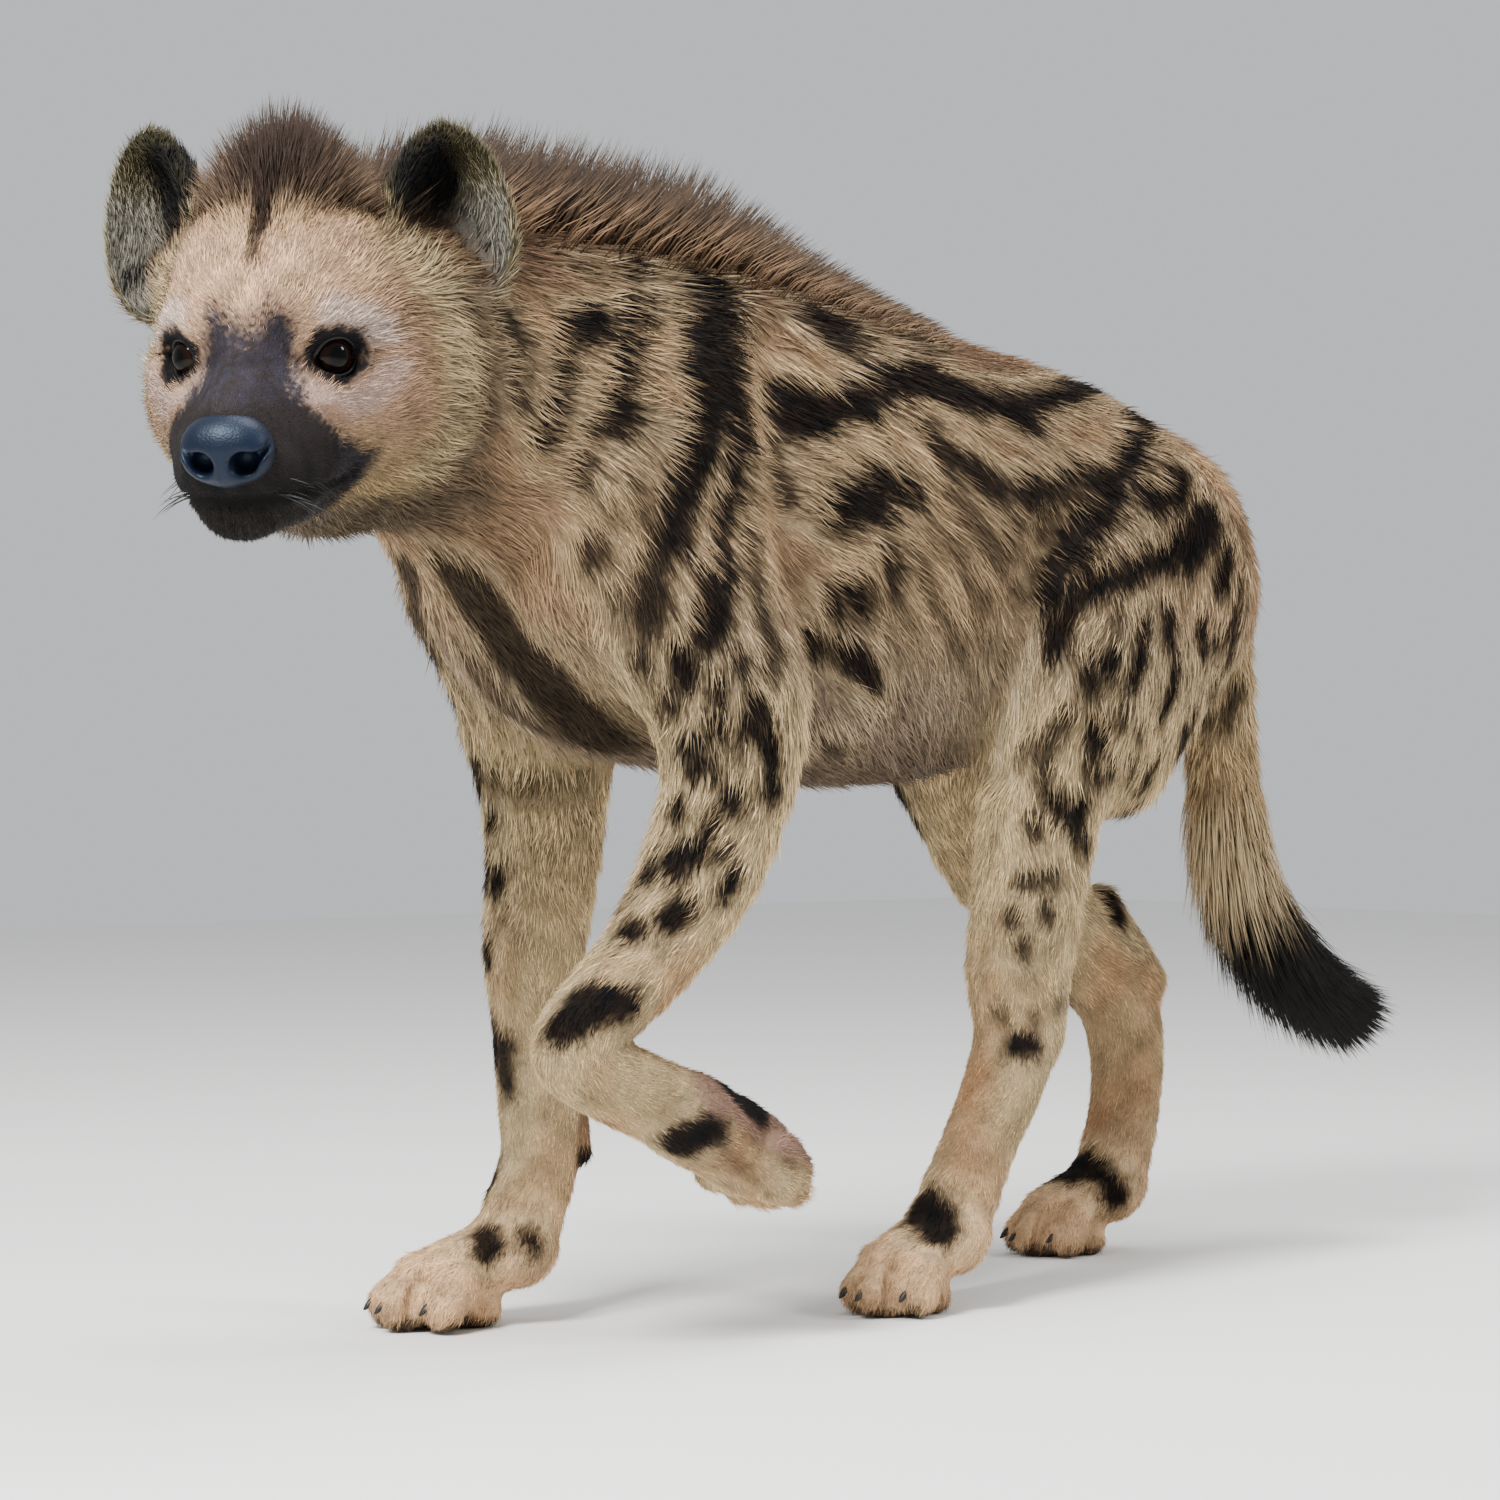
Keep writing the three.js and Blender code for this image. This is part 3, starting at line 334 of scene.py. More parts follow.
def paw_rows(name):
    """Rods of a paw: hand, two for each toe and the pad under the heel; the places of its claws,
    and the grooves between its toes."""
    start, end, wide, toe, top = PAWS[name]
    start, end, top = np.array(start, float), np.array(end, float), unit(top)
    run = end - start
    ahead = unit(run - top * (run @ top))
    side = np.cross(top, ahead)
    hand = start * 0.4 + end * 0.6 + top * 6
    rows = [[start, hand, 31, 25, 1.3, 14, side]]
    claws = []
    for place in (-1.5, -0.5, 0.5, 1.5):
        outer = abs(place) > 1
        r = toe * 0.88 if outer else toe
        tip = end + side * place * wide / 4.1 - ahead * (24 if outer else 0)
        base = hand + side * place * wide / 5.2 - ahead * 6
        knuckle = (base + tip) / 2 + top * 7
        rows.append([base, knuckle, 15, r * 1.03, 1, 5])
        rows.append([knuckle, tip, r * 1.03, r * 0.95, 1, 3])
        claws.append((tip + ahead * (r * 0.9 - 9) + top * 3, ahead, top, side))
        if name == "fore_left":
            rows.append([tip - ahead * 16 - top * 13, tip - ahead * 2 - top * 9, 15, 14, 1, 8])
    heel = start * 0.58 + end * 0.42 - top * (20 if name == "fore_left" else 26) - ahead * 8
    rows.append([heel, heel + ahead * 34, 19, 18, 1.5, 12, side])
    grooves = []
    for place in (-1, 0, 1):
        front = end + side * place * wide / 4.1 + ahead * (4 if place else 14)
        grooves.append([front - ahead * 10 + top * 20, front - top * 14, 3, 4, 1])
    return rows, claws, grooves


def boxed(p, d, form, low, high, blend, reach=40):
    """Joins a form to the distances, worked out only near the box that holds it."""
    near = np.all((p > np.array(low) - reach) & (p < np.array(high) + reach), axis=-1)
    out = d.copy()
    if near.any():
        out[near] = join(d[near], form(p[near]), blend)
    return out


PAW_FORMS = {name: paw_rows(name) for name in PAWS}
LIMB_BOX = {
    "fore_right": ([-200, -380, 0], [0, -60, 780]), "fore_left": ([0, -390, 60], [210, -80, 780]),
    "hind_left": ([0, -60, 0], [210, 400, 700]), "hind_right": ([-210, 130, 0], [0, 490, 700]),
}


def limb_form(p, name):
    """Distance to one limb: leg and muscles, and the paw with the grooves between its toes."""
    upper = rods(p, MUSCLES[name], rods(p, LEG_RODS[name]))
    rows, _, grooves = PAW_FORMS[name]
    paw = rods(p, rows)
    for groove in grooves:
        paw = carve(paw, rod(p, groove), 7)
    d = join(upper, paw, 12)
    return join(d, rod(p, WRIST_PAD), 8) if name == "fore_right" else d


def fold_rods(path, shift):
    """A furrow on the left side and its mirror image on the right, moved back by shift."""
    left = np.array(path, float)
    right_side = left * [-1, 1, 1] + [0, shift, 0]
    return [[a, b, 11, 11, 1, 4] for side in (left, right_side) for a, b in zip(side[:-1], side[1:])]


SHOULDER_RODS, THIGH_RODS = fold_rods(SHOULDER_FOLD, 0), fold_rods(THIGH_FOLD, 62)


def smooth(a, b, x):
    """Rises from 0 at a to 1 at b: three times the square of the way less twice its cube."""
    t = np.clip((x - a) / (b - a), 0, 1)
    return t * t * (3 - 2 * t)


def coat_depth(p):
    """How far the hide lies inside the outline of the coat: deep on trunk and neck, thin on
    legs, face and paws."""
    q = in_head(p)
    deep = 3 + 6 * smooth(240, 480, p[..., 2])
    face = smooth(170, 50, q[..., 1]) * smooth(190, 150, np.linalg.norm(q - [0, 40, 0], axis=-1))
    deep = deep * (1 - face) + 1.6 * face
    return np.where(p[..., 2] < 90, 1.5 + 1.5 * smooth(40, 90, p[..., 2]), deep)


def ears_form(p):
    """Distance to both ears, a millimetre thinner than the outline of their hair."""
    return ear_form(mirrored(in_head(p))) + 1


def hide(p):
    """Distance to the hide: the trunk with head, limbs and tail joined on, less the furrows and
    the depth of the coat. The ears, too thin to lose that depth, are joined last."""
    d = trunk(p)
    d = boxed(p, d, lambda s: face_form(in_head(s)), [-40, -690, 520], [260, -400, 900], 40)
    for name, (low, high) in LIMB_BOX.items():
        d = boxed(p, d, lambda s: limb_form(s, name), low, high, 36)
    d = boxed(p, d, lambda s: rods(s, TAIL_RODS), [-60, 330, 190], [60, 610, 700], 36)
    d = -boxed(p, -d, lambda s: rods(s, SHOULDER_RODS), [-150, -170, 440], [150, -60, 760], 26)
    d = -boxed(p, -d, lambda s: rods(s, THIGH_RODS), [-150, 50, 410], [150, 200, 620], 26)
    return boxed(p, d + coat_depth(p), ears_form, [-60, -640, 640], [260, -380, 900], 12)


def crossing_mesh(form, lines, rough=4):
    """Surface where a form is zero, on a grid of lines: a vertex in each cell that it crosses, at
    the mean of the crossed edges, and a face over each crossed edge. Only cells near it, found
    on every few lines, are worked out."""
    n = [len(v) for v in lines]
    picks = [np.unique(np.append(np.arange(0, m, rough), m - 1)) for m in n]
    coarse = np.stack(np.meshgrid(*[v[i] for v, i in zip(lines, picks)], indexing="ij"), -1)
    far = form(coarse.reshape(-1, 3)).reshape(coarse.shape[:3])
    size = [np.diff(v[i]).max() for v, i in zip(lines, picks)]
    close = np.abs(far) < 0.62 * np.linalg.norm(size) + 8
    todo = np.zeros(n, bool)
    for a in range(close.shape[0] - 1):
        for b in range(close.shape[1] - 1):
            for c in np.nonzero(close[a:a + 2, b:b + 2].any((0, 1)))[0]:
                for c2 in (c - 1, c):
                    if 0 <= c2 < close.shape[2] - 1:
                        todo[picks[0][a]:picks[0][a + 1] + 1, picks[1][b]:picks[1][b + 1] + 1,
                             picks[2][c2]:picks[2][c2 + 1] + 1] = True
    nearest = [np.abs(np.arange(m)[:, None] - i).argmin(1) for m, i in zip(n, picks)]
    value = np.sign(far[np.ix_(*nearest)]) * 9.0
    ijk = np.nonzero(todo)
    value[ijk] = form(np.stack([v[i] for v, i in zip(lines, ijk)], -1))
    value[0], value[-1], value[:, 0], value[:, -1], value[:, :, 0], value[:, :, -1] = [9.0] * 6
    inside = value < 0
    total = np.zeros([m - 1 for m in n] + [3], np.float64)
    count = np.zeros([m - 1 for m in n], np.int32)
    crossed = []
    for axis in range(3):
        lo = [slice(None)] * 3
        hi = [slice(None)] * 3
        lo[axis], hi[axis] = slice(0, -1), slice(1, None)
        a = np.array(np.nonzero(inside[tuple(lo)] != inside[tuple(hi)]))
        b = a.copy()
        b[axis] += 1
        va, vb = value[tuple(a)], value[tuple(b)]
        t = va / (va - vb)
        pt = np.stack([lines[k][a[k]] for k in range(3)], -1)
        pt[:, axis] += t * (lines[axis][b[axis]] - lines[axis][a[axis]])
        u, v = (axis + 1) % 3, (axis + 2) % 3
        for du in (0, 1):
            for dv in (0, 1):
                cell = a.copy()
                cell[u] -= du
                cell[v] -= dv
                np.add.at(total, tuple(cell), pt)
                np.add.at(count, tuple(cell), 1)
        crossed.append((a, va < 0, u, v))
    used = count > 0
    index = np.full(count.shape, -1)
    index[used] = np.arange(used.sum())
    vertices = total[used] / count[used][:, None]
    faces = []
    for a, out, u, v in crossed:
        ring = []
        for du, dv in ((1, 1), (0, 1), (0, 0), (1, 0)):
            cell = a.copy()
            cell[u] -= du
            cell[v] -= dv
            ring.append(index[tuple(cell)])
        ring = np.stack(ring, -1)
        ring[~out] = ring[~out][:, ::-1]
        faces.append(ring)
    return vertices, np.concatenate(faces)


def gradient(form, p, step=0.7):
    """Unit vectors along which a form's distance grows fastest."""
    out = np.empty_like(p)
    for k in range(3):
        e = np.zeros(3)
        e[k] = step
        out[:, k] = form(p + e) - form(p - e)
    return unit(out)


def new_object(name, points, faces, material, smooth_shade=True):
    """A mesh object from arrays of points in millimetres and of faces with equal corner counts."""
    mesh = bpy.data.meshes.new(name)
    corners = faces.shape[1]
    mesh.vertices.add(len(points))
    mesh.vertices.foreach_set("co", ((points - ORIGIN) / 1000).astype(np.float32).ravel())
    mesh.loops.add(faces.size)
    mesh.loops.foreach_set("vertex_index", faces.astype(np.int32).ravel())
    mesh.polygons.add(len(faces))
    mesh.polygons.foreach_set("loop_start", np.arange(0, faces.size, corners, dtype=np.int32))
    mesh.polygons.foreach_set("use_smooth", np.full(len(faces), smooth_shade))
    mesh.update(calc_edges=True)
    mesh.validate()
    mesh.materials.append(material)
    made = bpy.data.objects.new(name, mesh)
    bpy.context.scene.collection.objects.link(made)
    return made


def add_node(tree, kind, settings=None, **links):
    """A shader node with its settings; links name sockets and give a value or another socket."""
    made = tree.nodes.new(kind)
    for key, value in (settings or {}).items():
        setattr(made, key, value)
    for key, value in links.items():
        socket = made.inputs[int(key[1:])] if key[0] == "_" else made.inputs[key.replace("_", " ")]
        if isinstance(value, bpy.types.NodeSocket):
            tree.links.new(value, socket)
        else:
            socket.default_value = value
    return made


def srgb(code):
    """Linear colour of a hex code."""
    c = np.array([int(code[i:i + 2], 16) for i in (1, 3, 5)]) / 255
    return np.where(c <= 0.04045, c / 12.92, ((c + 0.055) / 1.055) ** 2.4)


def new_material(name):
    """An empty node material and its tree."""
    made = bpy.data.materials.new(name)
    made.use_nodes = True
    tree = made.node_tree
    tree.nodes.clear()
    return made, tree


def finish_material(tree, shader):
    """Joins a shader to the output."""
    add_node(tree, "ShaderNodeOutputMaterial", Surface=shader.outputs[0])


# Lines of the grid, close together at the head and the paws
hide_lines = (
    np.concatenate([np.arange(-200, -20, 5.0), np.arange(-20, 212, 2.9)]),
    np.concatenate([np.arange(-700, -480, 2.8), np.arange(-480, -420, 3.6), np.arange(-420, 600, 5.2)]),
    np.concatenate([np.arange(-6, 100, 3.6), np.arange(100, 590, 5.4), np.arange(590, 760, 2.8),
                    np.arange(760, 896, 3.6)]),
)
hide_points, hide_faces = crossing_mesh(hide, hide_lines)
for _ in range(2):
    slope = gradient(hide, hide_points)
    hide_points = hide_points - slope * np.clip(hide(hide_points), -1.5, 1.5)[:, None]
hide_points[:, 2] = np.maximum(hide_points[:, 2], 0)

random = np.random.default_rng(5)


def ripple(p, size, seed):
    """Smooth noise between about -1 and 1: six sine waves about size apart, in drawn directions."""
    draw = np.random.default_rng(seed)
    ways = unit(draw.normal(size=(6, 3))) * (2 * np.pi / size) * draw.uniform(0.6, 1.5, (6, 1))
    return np.sin(p @ ways.T + draw.uniform(0, 6.28, 6)).sum(-1) / 2.6


LEG_LINES = {name: knots(rows) for name, rows in LEGS.items()}
TAIL_LINE = knots(TAIL)


def along_line(p, line):
    """For each point the nearest knot of a centre line: its number, its way on and its distance."""
    far = np.linalg.norm(p[:, None] - line[None, :, :3], axis=-1)
    i = far.argmin(1)
    way = unit(np.gradient(line[:, :3], axis=0))
    return i, way[i], far.min(1)


def regions(p):
    """Share of trunk, head, ear, each leg and the tail at points on the hide: each part's weight
    falls off by the exponential of its distance."""
    q = in_head(p)
    forms = {"trunk": trunk(p), "head": head_form(q), "ear": ear_form(mirrored(q))}
    for name in LEGS:
        forms[name] = limb_form(p, name)
    forms["tail"] = rods(p, TAIL_RODS)
    names = list(forms)
    d = np.stack([forms[k] for k in names], -1)
    share = np.exp(-(d - d.min(-1, keepdims=True)) / 9)
    return dict(zip(names, (share / share.sum(-1, keepdims=True)).T))


def mix(a, b, t):
    """The first rows plus a share of the difference between both."""
    return a + (b - a) * np.asarray(t)[..., None]


# Markings: the photographed ones as strokes in pixels of the 1500 x 1500 photograph, each a
# darkness, a width and a path. A ray from the camera carries each point to the hide.
CAMERA_AZIMUTH = np.radians(50)
FOCAL_PIXELS = 3870
toward = np.array([np.sin(CAMERA_AZIMUTH), -np.cos(CAMERA_AZIMUTH), 0.0])
right = np.array([np.cos(CAMERA_AZIMUTH), np.sin(CAMERA_AZIMUTH), 0.0])
LENS_AT = toward * 3000 - right * 59 + np.array([0, 0, 430.0])

NECK_MARKS = [
    (1.0, 12, [(562, 320), (560, 357), (560, 391), (548, 413), (537, 446)]),
    (1.0, 27, [(578, 326), (588, 314)]),
    (0.9, 18, [(500, 316), (511, 338)]),
    (0.85, 9, [(511, 338), (515, 374), (515, 395)]),
    (1.0, 14, [(618, 256), (624, 293), (627, 321), (621, 357), (613, 396)]),
    (1.0, 24, [(620, 408), (612, 415)]),
    (0.9, 12, [(604, 422), (590, 427)]),
    (0.9, 11, [(583, 461), (579, 477)]),
    (0.9, 13, [(587, 556), (590, 546)]),
    (0.9, 9, [(597, 538), (599, 548)]),
    (0.6, 16, [(566, 262), (572, 268)]),
    (0.6, 12, [(604, 248), (612, 252)]),
    (0.6, 8, [(610, 509), (612, 516)]),
    (0.7, 9, [(617, 597), (620, 606)]),
    (0.7, 13, [(635, 483), (641, 509)]),
]
SHOULDER_MARKS = [
    (1.0, 38, [(693, 283), (704, 318), (708, 368), (703, 413)]),
    (1.0, 46, [(704, 330), (707, 370)]),
    (1.0, 36, [(703, 413), (694, 452)]),
    (1.0, 30, [(694, 452), (683, 475), (673, 503), (669, 531)]),
    (0.9, 24, [(664, 520), (655, 560), (645, 590), (649, 613)]),
    (1.0, 16, [(724, 372), (736, 413), (736, 453), (731, 486), (722, 520), (720, 553), (724, 576)]),
    (1.0, 26, [(712, 579), (718, 600), (707, 628)]),
    (0.85, 9, [(750, 531), (748, 565), (756, 598), (762, 626)]),
    (1.0, 18, [(684, 650), (686, 668)]),
    (0.9, 13, [(706, 618), (706, 645)]),
    (0.9, 13, [(638, 650), (639, 658)]),
    (1.0, 14, [(738, 650), (739, 658)]),
    (0.9, 10, [(762, 612), (770, 636), (768, 668)]),
    (1.0, 15, [(720, 680), (720, 688)]),
    (0.9, 14, [(666, 697), (671, 702)]),
    (1.0, 14, [(715, 717), (720, 720)]),
    (1.0, 16, [(752, 696), (754, 702)]),
    (1.0, 17, [(752, 718), (771, 733)]),
    (1.0, 15, [(770, 742), (771, 748)]),
]
FLANK_MARKS = [
    (0.95, 42, [(804, 317), (829, 328)]),
    (0.7, 20, [(900, 338), (911, 345)]),
    (0.85, 31, [(956, 338), (974, 345)]),
    (0.8, 13, [(992, 341), (1047, 357), (1076, 370)]),
    (1.0, 34, [(779, 398), (793, 413), (822, 407)]),
    (1.0, 27, [(822, 407), (851, 399), (872, 383)]),
    (1.0, 31, [(872, 381), (897, 372), (922, 374)]),
    (1.0, 26, [(922, 372), (940, 388), (968, 393), (997, 399)]),
    (1.0, 34, [(997, 399), (1011, 408), (1020, 408)]),
    (1.0, 21, [(1020, 396), (1054, 389), (1083, 386), (1111, 393), (1125, 410)]),
    (1.0, 21, [(1125, 410), (1131, 431), (1126, 456), (1111, 474)]),
    (1.0, 29, [(1108, 478), (1097, 506), (1085, 518)]),
    (1.0, 20, [(1085, 518), (1072, 540), (1058, 567), (1050, 592)]),
    (0.85, 9, [(772, 431), (776, 471), (786, 503)]),
    (0.9, 18, [(922, 420), (935, 445), (945, 460)]),
    (0.95, 22, [(968, 463), (983, 479), (1000, 486)]),
    (0.95, 21, [(1020, 488), (1036, 485), (1061, 478), (1090, 470), (1110, 472)]),
    (0.7, 13, [(1026, 492), (1015, 517), (1004, 556), (1000, 574)]),
    (0.6, 18, [(943, 474), (961, 510), (990, 545)]),
    (0.6, 11, [(1043, 538), (1051, 515)]),
    (1.0, 14, [(836, 490), (833, 522)]),
    (1.0, 22, [(855, 490), (848, 510)]),
    (1.0, 25, [(876, 476), (872, 504)]),
    (1.0, 13, [(904, 474), (904, 495)]),
    (0.95, 12, [(886, 548), (893, 580)]),
    (1.0, 14, [(851, 583), (858, 608)]),
    (1.0, 14, [(834, 594), (836, 609)]),
    (0.8, 10, [(867, 574), (869, 588)]),
    (0.6, 10, [(915, 553), (929, 599)]),
    (0.95, 13, [(811, 633), (817, 645)]),
    (1.0, 20, [(848, 648), (864, 672)]),
    (0.8, 10, [(824, 738), (833, 749)]),
    (0.55, 13, [(972, 581), (990, 599)]),
    (0.5, 10, [(968, 617), (986, 638)]),
    (0.5, 10, [(1010, 585), (1022, 600)]),
    (0.5, 10, [(940, 610), (955, 640)]),
    (0.55, 7, [(946, 526), (964, 572)]),
    (0.5, 7, [(982, 532), (999, 570)]),
    (0.55, 7, [(924, 510), (930, 540)]),
    (0.5, 7, [(1030, 560), (1037, 596)]),
    (0.5, 7, [(900, 600), (912, 632)]),
    (0.5, 7, [(958, 646), (972, 668)]),
    (0.5, 7, [(884, 610), (896, 648)]),
    (0.5, 8, [(1062, 505), (1052, 540)]),
]
THIGH_MARKS = [
    (1.0, 24, [(1175, 466), (1172, 484), (1156, 494), (1146, 492)]),
    (1.0, 18, [(1054, 640), (1066, 610), (1080, 592)]),
    (1.0, 23, [(1080, 590), (1092, 580), (1115, 571), (1143, 560), (1175, 549)]),
    (1.0, 36, [(1184, 545), (1198, 533), (1206, 514)]),
    (0.9, 16, [(1196, 448), (1222, 490)]),
    (1.0, 20, [(1226, 546), (1222, 576)]),
    (0.9, 12, [(1242, 575), (1236, 617), (1233, 650)]),
    (0.8, 9, [(1240, 681), (1226, 720)]),
    (1.0, 16, [(1168, 611), (1170, 628)]),
    (1.0, 13, [(1202, 619), (1206, 640)]),
    (0.8, 8, [(1118, 607), (1118, 620)]),
    (1.0, 12, [(1145, 617), (1141, 649), (1133, 679)]),
    (1.0, 13, [(1114, 650), (1111, 666)]),
    (0.95, 18, [(1089, 662), (1091, 680)]),
    (0.7, 9, [(1068, 648), (1070, 653)]),
    (1.0, 11, [(1176, 655), (1168, 704)]),
    (0.9, 10, [(1215, 679), (1209, 710)]),
    (0.95, 14, [(1067, 711), (1070, 717)]),
    (1.0, 17, [(1097, 722), (1100, 734)]),
    (0.9, 11, [(1123, 708), (1126, 714)]),
    (0.7, 8, [(1141, 722), (1142, 728)]),
    (0.9, 12, [(1188, 721), (1186, 735)]),
    (0.85, 12, [(1052, 733), (1040, 742)]),
    (0.7, 8, [(1040, 742), (1018, 750)]),
    (0.95, 11, [(1090, 761), (1100, 773), (1112, 764)]),
    (0.9, 9, [(1134, 758), (1135, 764)]),
    (0.95, 12, [(1158, 757), (1149, 777)]),
    (0.9, 10, [(1170, 775), (1169, 782)]),
    (0.9, 13, [(1043, 769), (1045, 776)]),
    (1.0, 15, [(1058, 795), (1065, 815)]),
    (1.0, 15, [(1082, 797), (1076, 817)]),
    (0.9, 11, [(1133, 806), (1134, 814)]),
    (0.9, 11, [(1032, 820), (1035, 825)]),
    (0.95, 14, [(1072, 822), (1088, 842)]),
]
SHANK_MARKS = [
    (0.9, 9, [(1025, 880), (1055, 872)]),
    (0.9, 10, [(1012, 912), (1010, 918)]),
    (0.9, 10, [(1047, 907), (1050, 912)]),
    (0.9, 11, [(1024, 942), (1021, 948)]),
    (0.7, 8, [(1003, 1012), (1003, 1018)]),
    (0.7, 8, [(1034, 1017), (1036, 1023)]),
    (1.0, 21, [(1023, 1045), (1020, 1085)]),
    (1.0, 32, [(908, 1200), (925, 1208), (938, 1226)]),
]
FORELEG_MARKS = [
    (1.0, 15, [(684, 743), (696, 746)]),
    (1.0, 14, [(694, 769), (714, 762)]),
    (0.8, 5, [(737, 751), (740, 753)]),
    (1.0, 14, [(773, 772), (773, 783)]),
    (1.0, 19, [(734, 793), (740, 798)]),
    (1.0, 12, [(672, 808), (676, 804)]),
    (1.0, 11, [(715, 822), (713, 829)]),
    (0.9, 8, [(730, 844), (720, 856)]),
    (1.0, 20, [(674, 861), (692, 848)]),
    (1.0, 13, [(654, 857), (647, 873)]),
    (1.0, 12, [(724, 887), (737, 872)]),
    (1.0, 17, [(669, 917), (686, 907)]),
    (1.0, 17, [(630, 929), (634, 925)]),
    (0.7, 6, [(627, 899), (629, 895)]),
    (1.0, 24, [(562, 1026), (590, 1003), (628, 1006)]),
    (1.0, 16, [(560, 1018), (590, 992)]),
    (1.0, 22, [(678, 1143), (692, 1136), (712, 1130)]),
]
# Marks without a twin: on the far legs, the chest and between the toes of the raised paw
LONE_MARKS = [
    (0.8, 7, [(1056, 1000), (1055, 1056)]),
    (0.95, 15, [(502, 1042), (505, 1080)]),
    (1.0, 19, [(483, 1236), (487, 1244)]),
    (1.0, 15, [(532, 1240), (535, 1244)]),
    (1.0, 19, [(1084, 1168), (1108, 1176), (1116, 1192)]),
    (0.8, 24, [(404, 560), (411, 605), (426, 640)]),
    (0.85, 40, [(452, 570), (492, 624), (540, 680), (596, 738)]),
    (0.55, 34, [(470, 660), (500, 700), (560, 730)]),
    (0.5, 14, [(482, 771), (521, 783), (585, 777)]),
    (0.45, 3, [(746, 1134), (776, 1152), (803, 1172)]),
    (0.45, 3, [(722, 1150), (748, 1174), (772, 1196)]),
]

# Guessed marks of the rear, which the photograph doesn't show: ends near the hide in mm, left side
REAR_MARKS = [
    (1.0, 9, [(34, 378, 610), (42, 380, 578)]), (0.9, 7, [(60, 356, 588), (66, 350, 556)]),
    (1.0, 8, [(30, 392, 548), (34, 390, 520)]), (1.0, 9, [(56, 360, 532), (60, 350, 500)]),
    (0.9, 7, [(78, 318, 548), (84, 306, 516)]), (0.9, 8, [(70, 322, 488), (74, 310, 462)]),
    (0.8, 6, [(44, 352, 484), (50, 342, 462)]), (1.0, 8, [(86, 284, 474), (90, 272, 448)]),
    (0.9, 7, [(62, 296, 436), (66, 284, 416)]), (0.8, 6, [(84, 246, 420), (86, 236, 402)]),
]


def settle(p):
    """The nearest places on the hide."""
    for _ in range(4):
        p = p - gradient(hide, p, 2.0) * hide(p)[:, None]
    return p


def from_camera(pixels):
    """Points of the hide that the camera sees at the pixels, walked out along the rays, and
    whether each ray meets it."""
    way = unit(-toward + np.column_stack([pixels[:, 0] - 750]) / FOCAL_PIXELS * right
               + np.column_stack([750 - pixels[:, 1]]) / FOCAL_PIXELS * np.array([0, 0, 1]))
    far = np.full(len(pixels), 2100.0)
    for _ in range(34):
        far += 0.9 * hide(LENS_AT + way * far[:, None])
    ends = LENS_AT + way * far[:, None]
    return ends, (np.abs(hide(ends)) < 2) & (far < 3900)


def other_leg(p, name, twin):
    """The place on a leg that matches a place on its twin, by the nearest knot of the leg's
    centre line and the offset from it, turned to the other side."""
    i, way, _ = along_line(p, LEG_LINES[name])
    here, there = LEG_LINES[name][i], LEG_LINES[twin][i]
    aside = np.array([1.0, 0, 0])
    turned = unit(np.gradient(LEG_LINES[twin][:, :3], axis=0))[i]
    offset = p - here[:, :3]
    rear, rear_there = unit(np.cross(way, aside)), unit(np.cross(turned, aside))
    size = (there[:, 3] / here[:, 3])[:, None]
    on = (offset * way).sum(-1, keepdims=True) * turned
    back = (offset * rear).sum(-1, keepdims=True) * rear_there
    return there[:, :3] + on + (back - offset[:, :1] * aside) * size


# A pixel at the distance of the animal in mm, and 1.3 of it because hair covers a mark's edge
MARK_SCALE = 1.3 * 3000 / FOCAL_PIXELS
MARK_GROUPS = (
    (NECK_MARKS + SHOULDER_MARKS + FLANK_MARKS + THIGH_MARKS, "mirrored"),
    (SHANK_MARKS, ("hind_left", "hind_right")), (FORELEG_MARKS, ("fore_left", "fore_right")),
    (LONE_MARKS, None),
)


def mark_lines():
    """Every mark as rods from, to, radius and darkness: those of the near side, their mirror
    images on the far side moved a little, and those without a twin."""
    found = []
    paths = [np.array(path, float) for table, _ in MARK_GROUPS for _, _, path in table]
    ends, met = from_camera(np.concatenate(paths))
    cuts = np.cumsum([len(path) for path in paths])[:-1]
    walked = iter(zip(np.split(ends, cuts), np.split(met, cuts)))
    for table, twins in MARK_GROUPS:
        for dark, width, _ in table:
            ends, met = next(walked)
            radius = width / 2 * MARK_SCALE + 2
            pair = [ends]
            if twins == "mirrored":
                moved = ends * [-1, 1, 1]
                moved[:, 1] += 14 * ripple(moved, 160, 21)
                moved[:, 2] += 12 * ripple(moved, 160, 22)
                moved[:, 1] += 60 * smooth(620, 520, moved[:, 2]) * smooth(60, 130, moved[:, 1])
                pair.append(settle(moved))
            elif twins:
                pair.append(settle(other_leg(ends, *twins)))
            for side in pair:
                found += [(a, b, radius, dark) for a, b, m in zip(side[:-1], side[1:], met) if m]
    for dark, radius, path in REAR_MARKS:
        for side in (1, -1):
            a, b = settle(np.array(path, float) * [side, 1, 1] + [0, 30 * (side < 0), 0])
            found.append((a, b, radius, dark))
    return found


MARKS = mark_lines()


